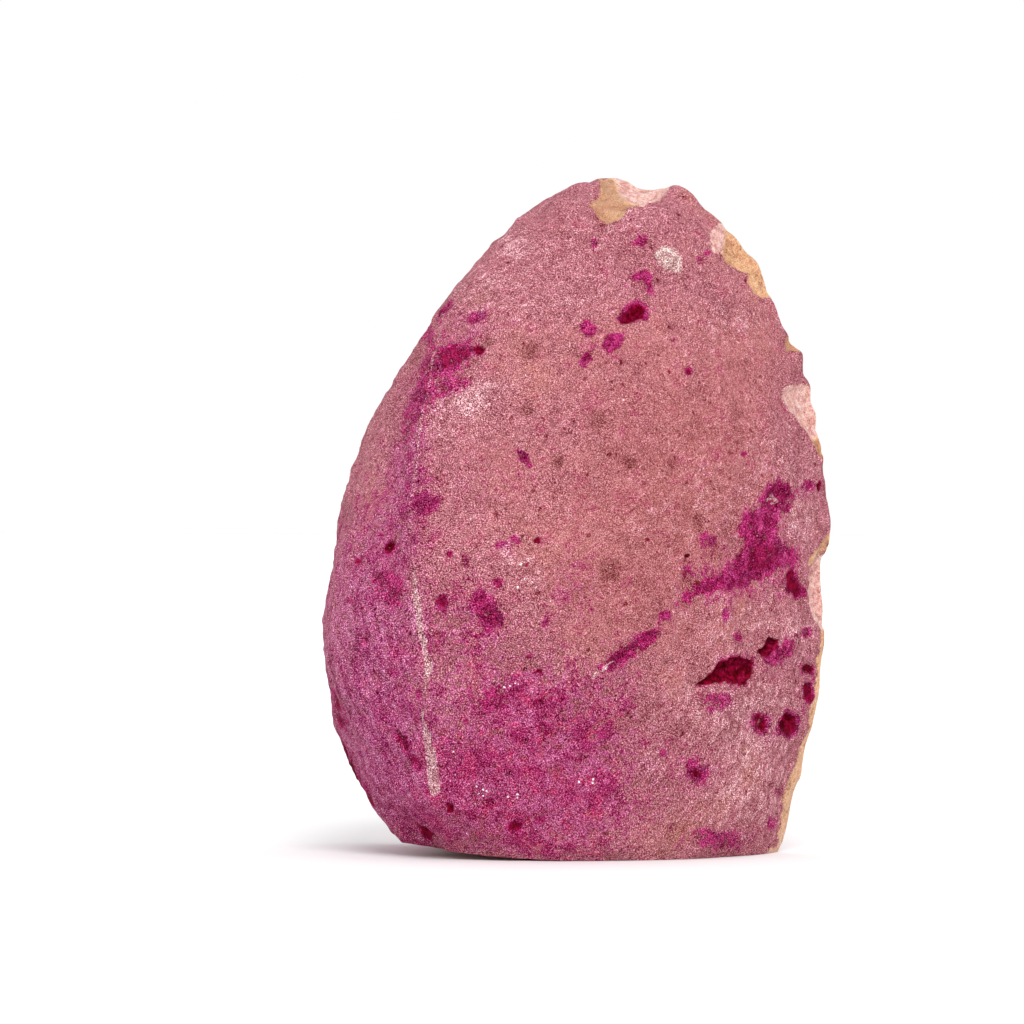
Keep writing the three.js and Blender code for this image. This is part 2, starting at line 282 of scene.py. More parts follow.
# Pits with an outline of their own: the outline in the view, depth in millimetres, crimson of pooled dye and
# painted shade, magenta.
PIT_OUTLINES = [
    ([(697, 686), (704, 679), (712, 673), (716, 664), (727, 659), (735, 655), (740, 657), (754, 662),
      (753, 675), (744, 688), (731, 683), (715, 684), (700, 688)], 2.0, 1.0, 0.6),
    ([(758, 653), (763, 646), (771, 638), (781, 639), (780, 648), (771, 656), (763, 658)], 2.2, 1.0, 0.3),
    ([(766, 662), (771, 651), (782, 650), (793, 641), (791, 653), (779, 662)], 0.5, 0.25, 1.0),
    ([(786, 574), (793, 569), (798, 581), (805, 595), (796, 597), (787, 590)], 1.0, 0.6, 1.0),
    ([(620, 319), (624, 311), (636, 302), (647, 307), (645, 319), (633, 322), (622, 322)], 1.7, 0.75, 1.0),
    ([(604, 345), (609, 336), (620, 335), (618, 344), (608, 350)], 0.5, 0.1, 1.0),
    ([(582, 361), (586, 354), (593, 349), (591, 358), (584, 364)], 0.7, 0.55, 1.0),
    ([(582, 326), (588, 321), (594, 327), (592, 335), (586, 331)], 0.4, 0.2, 1.0),
    ([(631, 279), (638, 276), (650, 279), (653, 290), (647, 293), (642, 285)], 0.3, 0.0, 1.0),
    ([(634, 243), (639, 239), (646, 239), (643, 245)], 0.3, 0.1, 1.0),
    ([(780, 721), (787, 713), (797, 717), (798, 731), (789, 738), (778, 732)], 1.6, 0.7, 1.0),
    ([(754, 724), (758, 714), (766, 714), (769, 724), (765, 734), (757, 733)], 0.8, 0.65, 1.0),
    ([(441, 352), (456, 345), (470, 348), (468, 358), (455, 366), (443, 371), (440, 362)], 0.5, 0.5, 1.0),
    ([(474, 595), (481, 590), (488, 600), (498, 612), (500, 622), (489, 629), (480, 620)], 0.7, 0.35, 1.0),
    ([(415, 498), (425, 494), (438, 500), (436, 508), (425, 514), (416, 508)], 0.5, 0.2, 0.9),
    ([(601, 670), (616, 655), (636, 641), (655, 628), (660, 634), (645, 650), (627, 660), (612, 670)],
     0.8, 0.25, 0.9),
    ([(341, 742), (351, 762), (362, 782), (374, 806), (366, 800), (352, 780), (343, 760)], 0.6, 0.7, 0.9),
    ([(333, 690), (338, 700), (345, 724), (341, 728), (335, 708)], 0.4, 0.5, 0.8),
]

# Dyed patches with an outline of their own: the outline, and how strong and how dark the dye is; the dark
# part is pooled dye deepened with painted shade.
STAIN_OUTLINES = [
    ([(743, 516), (752, 512), (763, 509), (771, 506), (777, 514), (778, 534), (782, 544), (793, 549),
      (798, 556), (793, 563), (785, 567), (777, 568), (768, 575), (757, 579), (743, 583), (729, 587),
      (715, 590), (702, 594), (690, 600), (683, 603), (682, 596), (690, 588), (702, 581), (715, 577),
      (732, 570), (734, 562), (740, 555), (746, 548), (741, 537), (740, 525)], 1.0, 0.15),
    ([(749, 545), (760, 541), (777, 543), (783, 551), (779, 562), (771, 570), (754, 574), (743, 570),
      (749, 559)], 1.0, 0.75),
    ([(725, 586), (743, 580), (762, 573), (763, 577), (745, 585), (728, 590)], 1.0, 0.8),
    ([(697, 533), (706, 530), (714, 535), (722, 545), (716, 556), (706, 557), (700, 546)], 0.55, 0.1),
    ([(683, 568), (690, 567), (693, 575), (689, 581), (682, 578)], 0.8, 0.1),
    ([(684, 764), (692, 758), (705, 762), (711, 770), (705, 781), (695, 784), (687, 775)], 0.8, 0.2),
    ([(416, 330), (432, 325), (440, 345), (452, 372), (440, 396), (425, 412), (416, 440), (404, 446),
      (400, 425), (412, 400), (420, 372), (430, 350)], 0.64, 0.3),
    ([(436, 395), (446, 380), (462, 372), (470, 380), (455, 392), (444, 404)], 0.7, 0.1),
    ([(440, 366), (452, 358), (468, 356), (478, 364), (464, 376), (448, 382)], 0.6, 0.0),
    ([(404, 446), (416, 440), (421, 470), (414, 500), (408, 530), (398, 520), (402, 480)], 0.38, 0.0),
    ([(372, 578), (386, 568), (402, 576), (406, 590), (398, 604), (388, 606), (378, 594)], 0.85, 0.3),
    ([(690, 832), (710, 826), (738, 832), (744, 842), (722, 850), (694, 846)], 0.7, 0.1),
    ([(484, 690), (498, 686), (510, 697), (504, 711), (490, 713), (482, 702)], 0.8, 0.3),
    ([(698, 694), (716, 692), (734, 698), (726, 708), (712, 712), (700, 704)], 0.75, 0.15),
]

# Pits and dents: middle, half length and half width in the view, turn from level in degrees, depth in
# millimetres, how dark the crimson in them is (pooled dye with painted shade), and how strong the magenta
# round them is.
PITS = [
    (775, 497, 14, 12, 40, 1.3, 0.35, 1.0), (594, 243, 4, 4, 0, 0.4, 0.2, 0.9),
    (648, 286, 4, 3, 60, 0.3, 0.3, 0.8), (673, 340, 4, 3, 0, 0.3, 0.4, 0.6),
    (689, 371, 4, 4, 0, 0.5, 0.5, 0.8), (646, 363, 2.5, 2.5, 0, 0.3, 0.7, 0.2),
    (658, 355, 2.5, 2.5, 0, 0.3, 0.7, 0.2), (622, 361, 2.5, 2, 0, 0.3, 0.7, 0.2),
    (669, 372, 2.5, 2, 0, 0.3, 0.7, 0.2), (747, 279, 3, 4, 20, 0.2, 0.6, 0.6),
    (709, 252, 5, 3, 10, 0.2, 0.2, 0.7), (702, 262, 3, 3, 0, 0.2, 0.2, 0.7),
    (745, 453, 3, 2.5, 0, 0.2, 0.4, 0.6), (720, 472, 3, 2.5, 0, 0.2, 0.2, 0.6),
    (705, 398, 3, 3, 0, 0.3, 0.4, 0.3), (564, 429, 3, 2.5, 0, 0.3, 0.6, 0.2),
    (571, 431, 2.5, 2.5, 0, 0.3, 0.6, 0.2), (748, 280, 3.5, 3, 0, 0.4, 0.7, 0.5),
    (703, 260, 5, 4, 30, 0.3, 0.2, 0.7), (679, 213, 3, 3, 0, 0.4, 0.6, 0.4),
    (668, 231, 2.5, 2.5, 0, 0.3, 0.5, 0.3), (480, 349, 7, 5, 30, 0.7, 0.8, 0.9),
    (476, 318, 7, 4, 20, 0.4, 0.3, 0.9), (447, 313, 11, 4, 52, 0.4, 0.3, 0.8),
    (424, 400, 6, 4, 60, 0.3, 0.2, 0.8), (524, 458, 12, 3, -52, 0.6, 0.3, 0.8),
    (390, 547, 7, 5, 40, 0.7, 0.7, 0.9), (380, 535, 4, 3, 0, 0.3, 0.4, 0.6),
    (359, 562, 4, 4, 0, 0.4, 0.5, 0.5), (449, 554, 3.5, 3, 0, 0.4, 0.5, 0.9),
    (466, 562, 4, 7, 20, 0.4, 0.3, 0.9), (443, 602, 5, 7, 0, 0.6, 0.5, 0.9),
    (497, 583, 5, 4, -40, 0.3, 0.5, 0.9), (438, 632, 3, 3, 0, 0.3, 0.6, 0.5),
    (537, 541, 3, 3, 0, 0.4, 0.8, 0.5), (516, 540, 4, 3, -40, 0.3, 0.2, 0.9),
    (526, 565, 3, 3, 0, 0.3, 0.6, 0.3), (500, 544, 4, 3, 0, 0.2, 0.0, 0.8),
    (512, 505, 4, 4, 0, 0.2, 0.0, 0.5), (545, 623, 3, 3, 0, 0.3, 0.1, 1.0),
    (539, 672, 4, 3, 20, 0.4, 0.7, 0.8), (528, 657, 3, 2.5, 0, 0.3, 0.5, 0.6),
    (810, 485, 4, 4, 0, 0.4, 0.4, 1.0), (819, 485, 3, 5, 0, 0.7, 0.8, 0.8),
    (687, 555, 2.5, 2.5, 0, 0.3, 0.9, 0.3), (666, 615, 4, 4, 0, 0.3, 0.1, 0.9),
    (725, 614, 3, 5, 0, 0.3, 0.1, 0.8), (738, 637, 4, 7, 10, 0.4, 0.4, 0.9),
    (648, 539, 2.5, 2.5, 0, 0.3, 0.6, 0.3), (809, 670, 5, 5, 0, 0.6, 0.7, 1.0),
    (806, 633, 5, 5, 0, 0.4, 0.3, 0.9), (808, 693, 5, 10, 15, 0.7, 0.6, 1.0),
    (797, 636, 3, 3, 0, 0.3, 0.3, 0.8), (665, 715, 3, 3, 0, 0.3, 0.5, 0.6),
    (450, 808, 4, 6.5, 15, 1.2, 1.0, 0.6), (427, 833, 9, 4.5, -45, 0.7, 0.6, 0.9),
    (404, 744, 12, 4.5, -62, 0.7, 0.5, 0.9), (413, 762, 9, 4.5, -50, 0.6, 0.4, 0.9),
    (709, 804, 3.5, 3, 0, 0.3, 0.4, 0.7), (671, 828, 3, 3, 0, 0.3, 0.2, 0.9),
    (770, 784, 4, 3, 0, 0.3, 0.4, 0.5), (744, 439, 4, 3.5, 0, 0.5, 0.4, 0.1),
    (730, 453, 3, 3, 0, 0.3, 0.4, 0.1), (539, 701, 7, 3.5, 0, 0.3, 0.5, 0.9),
    (514, 828, 8, 6, 0, 0.4, 0.6, 0.9), (467, 722, 3, 3, 0, 0.3, 0.5, 0.5),
    (486, 705, 10, 4, -40, 0.4, 0.4, 0.9), (696, 773, 6, 5, 20, 0.5, 0.7, 0.9),
    (541, 820, 6, 4, 0, 0.3, 0.3, 0.9), (490, 803, 5, 4, 0, 0.3, 0.4, 0.9),
    (545, 729, 7, 5, 0, 0.3, 0.4, 0.9), (563, 700, 4, 3, 0, 0.3, 0.4, 0.8),
    (780, 791, 4, 5, 0, 0.3, 0.3, 0.7), (771, 823, 6, 8, 0, 0.3, 0.1, 0.6),
    (421, 690, 4, 6, 0, 0.3, 0.3, 0.7), (391, 672, 5, 4, 0, 0.3, 0.3, 0.8),
    (365, 640, 4, 5, 0, 0.3, 0.4, 0.7), (350, 600, 4, 4, 0, 0.3, 0.3, 0.7),
    (580, 758, 6, 4, 30, 0.3, 0.3, 0.8), (600, 735, 4, 4, 0, 0.3, 0.2, 0.8),
    (628, 716, 4, 3, 0, 0.2, 0.1, 0.8), (663, 754, 3, 3, 0, 0.2, 0.1, 0.8),
]

# Small brownish sunken rings: middle, radius.
BROWN_SPOTS = [
    (598, 419, 8), (558, 461, 6), (631, 463, 5), (672, 463, 4), (530, 352, 7), (527, 410, 5), (610, 570, 9),
    (488, 340, 5), (700, 520, 5),
]

# Wide zones where the dye took, from none to full: middle, half length, half width, turn, strength.
DYED_ZONES = [
    (470, 790, 120, 66, 0, 0.95), (380, 700, 56, 130, 8, 0.72), (560, 790, 74, 66, 0, 0.9),
    (380, 560, 42, 76, -6, 0.6), (525, 705, 70, 50, -30, 0.85), (440, 370, 24, 56, -28, 0.5),
    (410, 470, 20, 70, -6, 0.55), (480, 605, 30, 40, 0, 0.5), (760, 555, 50, 46, 20, 0.4),
    (713, 590, 46, 24, 10, 0.4), (610, 700, 46, 46, 0, 0.35), (450, 640, 40, 40, 0, 0.3),
    (630, 650, 40, 16, 35, 0.35), (715, 838, 44, 14, 0, 0.4), (785, 655, 26, 22, 0, 0.35),
    (775, 725, 30, 20, 0, 0.35), (695, 772, 26, 22, 0, 0.35), (808, 690, 12, 24, 0, 0.4),
    (640, 285, 26, 16, 0, 0.3), (600, 345, 30, 22, 0, 0.25), (472, 332, 22, 22, 0, 0.4),
    (812, 488, 14, 10, 0, 0.4), (475, 495, 30, 34, 0, 0.3), (570, 590, 36, 36, 0, 0.4),
]

# Where the dye has a violet cast.
VIOLET_PLACES = [
    (350, 660, 40, 100, 4, 0.7), (395, 760, 40, 70, -20, 0.6), (408, 480, 16, 70, -6, 0.55),
    (385, 615, 40, 60, 0, 0.6),
]

# Worn, whitish places: middle, half length, half width, turn, strength.
PALE_PLACES = [
    (466, 400, 34, 18, 8, 0.95), (486, 388, 14, 10, 0, 0.5), (516, 246, 22, 18, 30, 0.6),
    (484, 295, 24, 14, 45, 0.5), (745, 622, 60, 26, 4, 0.45), (640, 386, 10, 5, 0, 0.4),
    (518, 447, 9, 4, -50, 0.8), (690, 515, 60, 40, 0, 0.3), (790, 470, 34, 50, 0, 0.4),
    (800, 640, 16, 50, 0, 0.45), (755, 720, 60, 50, 0, 0.6), (745, 320, 26, 22, 0, 0.35),
    (560, 300, 50, 22, 10, 0.4), (625, 215, 50, 20, 0, 0.3), (740, 800, 50, 50, 0, 0.5),
    (700, 700, 40, 20, 0, 0.4), (478, 853, 8, 3, 0, 1.0), (430, 440, 30, 60, -20, 0.3),
    (520, 565, 34, 14, -40, 0.55), (515, 690, 26, 12, -30, 0.4), (450, 290, 30, 20, 50, 0.4),
    (800, 530, 22, 26, 0, 0.5), (590, 775, 16, 10, 0, 0.4), (380, 640, 20, 40, 0, 0.25),
    (400, 800, 26, 20, -40, 0.3), (700, 600, 30, 14, 10, 0.5), (560, 255, 60, 18, 20, 0.3),
    (395, 420, 14, 50, -20, 0.25), (652, 765, 16, 28, 0, 0.4), (715, 320, 30, 24, 0, 0.25),
]

# Where the painted glints crowd together: small white dots that stand in for light caught by tiny facets.
PAINTED_GLINT_PLACES = [
    (508, 428, 6, 12, 0, 0.7), (530, 462, 8, 10, 0, 0.6), (527, 580, 26, 14, -30, 0.9),
    (514, 686, 14, 6, -10, 0.9), (548, 709, 16, 5, 0, 0.7), (481, 792, 8, 8, 0, 0.7),
    (512, 798, 10, 10, 0, 0.7), (456, 755, 9, 5, 0, 0.6), (585, 782, 12, 12, 0, 0.6),
    (486, 398, 18, 10, 0, 0.5), (523, 368, 9, 4, 0, 0.8), (676, 694, 10, 6, 0, 0.5),
]

# Where the salmon and the brown of the stone show most.
WARM_PLACES = [
    (665, 490, 110, 140, 0, 0.85), (700, 425, 44, 44, 0, 0.6), (620, 600, 80, 70, 0, 0.6),
    (600, 350, 60, 40, 0, 0.3), (500, 470, 50, 60, 0, 0.4), (420, 700, 14, 30, 0, 0.4),
    (540, 340, 30, 50, -30, 0.2), (745, 345, 50, 60, 0, 0.45), (700, 250, 40, 40, 0, 0.3),
]

# Freshly broken translucent places at the edge of the sawn face: the outline in the view, depth, and
# how far the colour goes from honey to pinkish white.
CHIP_OUTLINES = [
    ([(588, 204), (600, 192), (598, 172), (618, 172), (629, 184), (648, 190), (640, 203), (629, 208),
      (620, 218), (609, 223), (600, 219), (593, 211)], 0.9, 0.1),
    ([(612, 172), (650, 172), (674, 178), (668, 192), (655, 201), (641, 204), (630, 197), (618, 188)],
     0.9, 0.85),
    ([(711, 233), (717, 225), (725, 224), (727, 236), (721, 252), (713, 251), (709, 242)], 0.3, 1.0),
    ([(722, 222), (736, 226), (750, 244), (764, 264), (774, 276), (774, 296), (764, 297), (755, 292),
      (749, 281), (748, 273), (738, 269), (727, 263), (722, 252), (724, 238)], 1.0, 0.34),
    ([(784, 338), (794, 334), (808, 350), (806, 356), (798, 352), (786, 352)], 0.5, 0.1),
    ([(784, 388), (791, 385), (808, 384), (820, 398), (824, 430), (816, 441), (807, 432), (798, 422),
      (790, 408), (783, 397)], 0.8, 0.85),
    ([(806, 430), (824, 428), (830, 450), (822, 458), (816, 450)], 0.6, 0.15),
    ([(815, 566), (822, 555), (838, 552), (836, 628), (823, 630), (815, 620), (811, 610), (808, 595),
      (809, 578)], 1.0, 0.95),
]

# Fresh edges without much breadth: points with half widths, and how far from honey to pinkish white.
CHIP_EDGES = [
    ([(811, 563, 2.5), (818, 553, 3.5), (829, 541, 3.5), (833, 531, 3.0)], 0.3),
    ([(824, 628, 2.0), (822, 655, 2.6), (818, 690, 3.2), (811, 726, 4.0), (800, 764, 5.5),
      (791, 792, 5.0), (786, 817, 4.0), (782, 838, 3.5)], 0.38),
    ([(786, 832, 3.5), (780, 850, 4.0), (764, 858, 3.0)], 0.6),
]

# Small pale places in two of the pits: points with half widths.
PIT_CRYSTALS = [(771, 499, 2.4), (776, 494, 2.0), (780, 500, 2.4), (775, 503, 1.6)]
PIT_HEART = [(759, 727, 2.0), (762, 720, 2.0)]

# The white crumbly patch high on the rind.
CHALK_OUTLINE = [
    (654, 254), (663, 245), (674, 248), (682, 260), (681, 275), (673, 272), (663, 267), (656, 263),
]

# The low ridge down the left of the rind: points with half widths.
CREST = [
    (500, 246, 10.0), (446, 316, 10.0), (428, 380, 9.0), (418, 440, 9.0), (412, 500, 9.0), (414, 560, 9.0),
    (419, 610, 9.0), (426, 660, 9.0), (428, 710, 9.0), (435, 790, 9.0),
]

# The pale scrape down the crest: points with half widths.
CREST_SCRAPE = [
    (415, 566, 0.8), (416, 580, 2.2), (418, 602, 4.2), (422, 630, 4.0), (426, 650, 2.4), (430, 664, 4.6),
    (428, 676, 3.2), (426, 690, 1.0), (425, 716, 1.0), (427, 730, 4.2), (432, 755, 5.8), (434, 775, 6.2),
    (436, 788, 6.0),
]

# The faint line above the scrape, and a scratch beside the slit.
CREST_LINE = [
    (446, 316, 1.8), (432, 372, 1.8), (423, 420, 1.6), (418, 470, 1.8), (412, 510, 1.6), (415, 566, 1.5),
]
SLIT_SCRATCH = [(587, 679, 1.0), (600, 671, 1.4), (612, 664, 0.8)]

# Wide soft places, by the name of what is painted there.
ZONES = {
    "pale": PALE_PLACES, "zone": DYED_ZONES, "warm": WARM_PLACES,
    "violet": VIOLET_PLACES, "glint": PAINTED_GLINT_PLACES,
}

PIT_WALL = (0.35, 1.05)  # a pit's wall lies between these shares of its radius
DIP_STRETCH = 0.25  # a dip at the outline reaches four times as far along the line of sight
CHIPS_PLACED_FROM = 560  # right of this pixel the chips at the rim are the ones above
HIDDEN_MARKS = 34
FLANK_RUN = (0.3, 0.95)  # the way the turned-away flank runs, in X and Y
SEEN = 0.03  # how far a point has to face the eye
OUT_OF_REACH, OUT_OF_REACH_PIXELS = 9.0, 99.0


class Rind:
    """The rind's grid with what the marks need: where each point falls in the view and which are seen."""

    def __init__(self, points):
        points = lift_foot(points)
        normals = grid_normals(points)
        self.points = points.reshape(-1, 3)
        self.normals = normals.reshape(-1, 3)
        self.u, self.v = in_view(self.points)
        to_eye = EYE - self.points
        to_eye /= np.linalg.norm(to_eye, axis=1, keepdims=True)
        self.facing = np.sum(self.normals * to_eye, axis=1)

    def under(self, u, v):
        """The number of the seen point nearest to a place in the view."""
        far = (self.u - u) ** 2 + (self.v - v) ** 2
        return int(np.argmin(np.where((self.facing > SEEN) & (self.points[:, 2] > 0), far, 1e9)))

    def within(self, u, v, long, wide, turn):
        """0 at a mark's middle, 1 at its edge, more beyond it."""
        middle = self.points[self.under(u, v)]
        along, across = turned(self.u - u, v - self.v, math.radians(turn))
        ratio = np.hypot(along / long, across / wide)
        reach = 3.0 * max(long, wide) * DISTANCE / FOCAL + 1.5
        off = np.linalg.norm(self.points - middle, axis=1) / reach
        return np.where(off > 1, OUT_OF_REACH, ratio)

    def along(self, trail):
        """0 on a trail's middle line, 1 at its edge."""
        nearest = np.full(len(self.points), OUT_OF_REACH)
        for (u0, v0, w0), (u1, v1, w1) in zip(trail, trail[1:]):
            du, dv = u1 - u0, v1 - v0
            t = np.clip(((self.u - u0) * du + (self.v - v0) * dv) / (du * du + dv * dv), 0.0, 1.0)
            off = np.hypot(self.u - u0 - t * du, self.v - v0 - t * dv) / (w0 + (w1 - w0) * t)
            middle = self.points[self.under((u0 + u1) / 2, (v0 + v1) / 2)]
            reach = (0.5 * math.hypot(du, dv) + 12.0) * DISTANCE / FOCAL + 3.0
            off = np.where(np.linalg.norm(self.points - middle, axis=1) > reach, OUT_OF_REACH, off)
            nearest = np.minimum(nearest, off)
        return nearest


def off_outline(rind, outline):
    """How far each point lies outside an outline in the view, in pixels; negative inside it."""
    corners = np.array(outline, dtype=float)
    place = np.stack([rind.u, rind.v], axis=1)
    nearest = np.full(len(place), 1e9)
    inside = np.zeros(len(place), dtype=bool)
    for a, b in zip(corners, np.roll(corners, -1, axis=0)):
        edge = b - a
        t = np.clip((place - a) @ edge / (edge @ edge), 0.0, 1.0)
        nearest = np.minimum(nearest, np.linalg.norm(place - a - t[:, None] * edge, axis=1))
        spans = (a[1] > place[:, 1]) != (b[1] > place[:, 1])
        crossing = a[0] + edge[0] * (place[:, 1] - a[1]) / (edge[1] if edge[1] else 1e-9)
        inside ^= spans & (place[:, 0] < crossing)
    middle = rind.points[rind.under(*corners.mean(axis=0))]
    reach = 0.75 * np.linalg.norm(np.ptp(corners, axis=0)) * DISTANCE / FOCAL + 4.0
    far = np.linalg.norm(rind.points - middle, axis=1) > reach
    return np.where(far, OUT_OF_REACH_PIXELS, np.where(inside, -nearest, nearest))


def spot(ratio, soft):
    """1 inside a mark, fading out round its edge."""
    return 1.0 - smooth_step(1.0 - soft, 1.0 + soft, ratio)


def paint_zone(rind, places):
    """Wide soft places that run into each other."""
    left = np.ones(len(rind.points))
    for u, v, long, wide, turn, strength in places:
        along, across = turned(rind.u - u, v - rind.v, math.radians(turn))
        along, across = along / long, across / wide
        left *= 1.0 - strength * np.exp(-0.9 * (along * along + across * across))
    return 1.0 - left


def hidden_marks(rind, share):
    """Pits and stains of the same kind where the rind turns away from the marks above."""
    chance = np.random.default_rng(SEED)
    candidates = np.where((rind.facing < -0.02) & (share.reshape(-1) < 0.97))[0]
    marks = []
    for _ in range(HIDDEN_MARKS):
        middle = rind.points[candidates[chance.integers(len(candidates))]]
        size = 0.4 + 1.5 * chance.random() ** 2.5
        marks.append((middle, size, chance.random() * math.pi, 0.3 + 0.8 * chance.random()))
    return marks


def hidden_ratio(rind, middle, size, turn):
    """0 at a hidden mark's middle, 1 at its edge; its length is measured along the turned-away flank."""
    off = rind.points - middle
    along, across = turned(off[:, 0] * FLANK_RUN[0] + off[:, 1] * FLANK_RUN[1], off[:, 2], turn)
    ratio = np.hypot(along / (1.5 * size), across / size)
    return np.where(np.linalg.norm(off, axis=1) > 3.0 * size, OUT_OF_REACH, ratio)


def cell_size(points):
    return float(np.median(np.linalg.norm(np.diff(points, axis=0), axis=-1)))


class Marks:
    """How deep each point of the rind is sunk, and how much of each kind of mark is painted there."""

    def __init__(self, count):
        self.depth = np.zeros(count)
        self.paint = {name: np.zeros(count) for name in ("pit", "dye", "brown", "chip", "white")}

    def sink(self, deep, inner, outer, off):
        """Full depth up to the inner distance and none past the outer one."""
        self.depth = np.maximum(self.depth, deep * (1.0 - smooth_step(inner, outer, off)))

    def most(self, name, values):
        self.paint[name] = np.maximum(self.paint[name], values)


def halo(off, share, near, far):
    """1 inside a mark; one share of it fades over the near distances and the rest over the far ones."""
    return 1.0 - share * smooth_step(*near, off) - (1.0 - share) * smooth_step(*far, off)


def swell_out(directions, body):
    """The rind's reach with its swells and dips."""
    rind = Rind(rind_points(directions, body))
    for u, v, wide, high in SWELLS:
        offset = rind.points - rind.points[rind.under(u, v)]
        inward = (offset @ BACK) * (1.0 if high > 0 else DIP_STRETCH)
        off = np.sqrt((offset @ RIGHT) ** 2 + (offset @ UP) ** 2 + inward ** 2) * FOCAL / DISTANCE / wide
        body = body + high * (1.0 - smooth_step(0.0, 1.2, off)).reshape(body.shape)
    return body


def mark_pits(rind, marks, share, ragged_by):
    """The pits and the stains, at the places above and where the rind turns away from them."""
    for outline, deep, dark, dyed in PIT_OUTLINES:
        off = off_outline(rind, outline) + 5.0 * ragged_by
        marks.sink(deep, -6.0, 1.0, off)
        marks.most("pit", dark * (1.0 - smooth_step(-1.5, 1.0, off)))
        marks.most("dye", dyed * halo(off, 0.65, (-1.0, 4.0), (2.0, 16.0)))
    for outline, strong, dark in STAIN_OUTLINES:
        off = off_outline(rind, outline) + 5.0 * ragged_by
        marks.sink(0.5 * dark, -5.0, 1.0, off)
        marks.most("pit", 0.6 * dark * (1.0 - smooth_step(-5.0, 2.0, off)))
        marks.most("dye", strong * halo(off, 0.6, (-4.0, 4.0), (2.0, 24.0)))
    for u, v, long, wide, turn, deep, dark, dyed in PITS:
        ragged = rind.within(u, v, long, wide, turn) * (1.0 + ragged_by)
        marks.sink(deep, *PIT_WALL, ragged)
        marks.most("pit", dark * spot(ragged, 0.25))
        marks.most("dye", dyed * spot(ragged / 1.3, 0.5))
    for middle, size, turn, deep in hidden_marks(rind, share):
        ratio = hidden_ratio(rind, middle, size, turn)
        ragged = ratio * (1.0 + ragged_by)
        marks.sink(deep, *PIT_WALL, ragged)
        marks.most("pit", 0.8 * spot(ragged, 0.25))
        marks.most("dye", 0.9 * spot(ratio / 1.6, 0.6))
    for u, v, radius in BROWN_SPOTS:
        ratio = rind.within(u, v, radius * 1.3, radius * 1.3, 0)
        marks.sink(0.35, 0.4, 1.6, ratio / 0.8)
        marks.most("brown", spot(ratio, 0.6))


def mark_chips(rind, marks, ragged_by):
    """The fresh breaks at the edge of the sawn face."""
    for outline, deep, white in CHIP_OUTLINES:
        off = off_outline(rind, outline) + 2.0 * ragged_by
        marks.sink(deep, -5.0, 1.0, off)
        inside = 1.0 - smooth_step(-3.5, 3.5, off)
        marks.most("chip", inside)
        marks.most("white", white * inside)
    for trail, white in CHIP_EDGES:
        inside = spot(rind.along(trail) * (1.0 + ragged_by), 0.6)
        marks.most("chip", inside)
        marks.most("white", white * inside)


def pale_marks(rind, scrape, ragged_by, rough):
    """The scrape, the chalky patch and the fine pale marks, as paint."""
    chalk = 1.25 * (1.0 - smooth_step(-2.0, 2.0, off_outline(rind, CHALK_OUTLINE) + 4.0 * ragged_by))
    frost = 0.55 * spot(rind.along(PIT_CRYSTALS) * (1.0 + ragged_by), 0.3)
    heart = 0.5 * spot(rind.along(PIT_HEART), 0.5)
    faint = 0.58 * spot(rind.along(CREST_LINE), 0.5) * (0.8 + 0.25 * rough)
    scratch = spot(rind.along(SLIT_SCRATCH), 0.3)
    return np.maximum.reduce([0.72 * scrape, chalk, frost, heart, faint, scratch])


def within_cad_box(points):
    """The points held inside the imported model's box, save below the base, where they are cut later."""
    low, high = np.array(CAD_LOW) / MM, np.array(CAD_HIGH) / MM
    low[2] = -math.inf
    return np.clip(points, low, high)


def shape_rind():
    """The rind's points and what is painted on them."""
    directions, sampled, share = sample_rind()
    shape = sampled.shape
    cell = cell_size(rind_points(directions, sampled))
    filled = fill_dents(sampled, int(DENT_REACH / cell))
    soft_dents = blur(np.maximum(filled - sampled, 0.0), 0.5 / cell)
    body = swell_out(directions, blur(filled, 1.8 / cell))
    rind = Rind(rind_points(directions, body))

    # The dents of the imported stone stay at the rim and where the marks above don't reach.
    rim_share = smooth_step(0.82, 0.9, share)
    unseen = 1.0 - smooth_step(-0.05, 0.1, rind.facing).reshape(shape)
    placed_by_hand = ((rind.u > CHIPS_PLACED_FROM) & (rind.facing > 0)).reshape(shape)
    rim_chips = smooth_step(0.15, 0.4, soft_dents) * smooth_step(0.91, 0.94, share) * ~placed_by_hand
    packed_pits = (smooth_step(0.2, 0.9, soft_dents) * unseen * (1.0 - rim_share)).ravel()
    body = body - soft_dents * np.maximum(rim_share, unseen)

    rough = lumps(rind.points, 3.2, 3.0)
    fine = lumps(rind.points, 1.3, 9.0)
    ragged_by = 0.26 * rough + 0.22 * fine
    scrape = spot(rind.along(CREST_SCRAPE) * (1.0 + 0.5 * ragged_by), 0.3)

    marks = Marks(len(rind.points))
    mark_pits(rind, marks, share, ragged_by)
    marks.most("pit", 0.75 * packed_pits)
    marks.most("dye", packed_pits)
    mark_chips(rind, marks, ragged_by)
    marks.most("chip", rim_chips.ravel())
    marks.most("white", 0.9 * rim_chips.ravel())

    paint = marks.paint
    paint["scrape"] = pale_marks(rind, scrape, ragged_by, rough)
    for name, places in ZONES.items():
        paint[name] = paint_zone(rind, places)
    paint["dye"] *= 1.0 - paint["chip"]
    paint["pit"] *= 1.0 - paint["chip"]

    away_from_rim = 1.0 - 0.5 * smooth_step(0.985, 1.0, share).ravel()
    relief = 0.3 * lumps(rind.points, 8.0, 1.0) + 0.26 * rough + 0.15 * fine
    relief *= (1.0 - 0.3 * paint["chip"]) * (1.0 - 0.6 * scrape)
    crest = CREST_HEIGHT * np.exp(-0.5 * rind.along(CREST) ** 2)
    reach = body + ((relief - marks.depth - 0.25 * scrape) * away_from_rim + crest).reshape(shape)
    return within_cad_box(rind_points(directions, reach)).reshape(-1, 3), paint


# ---- Making meshes ----

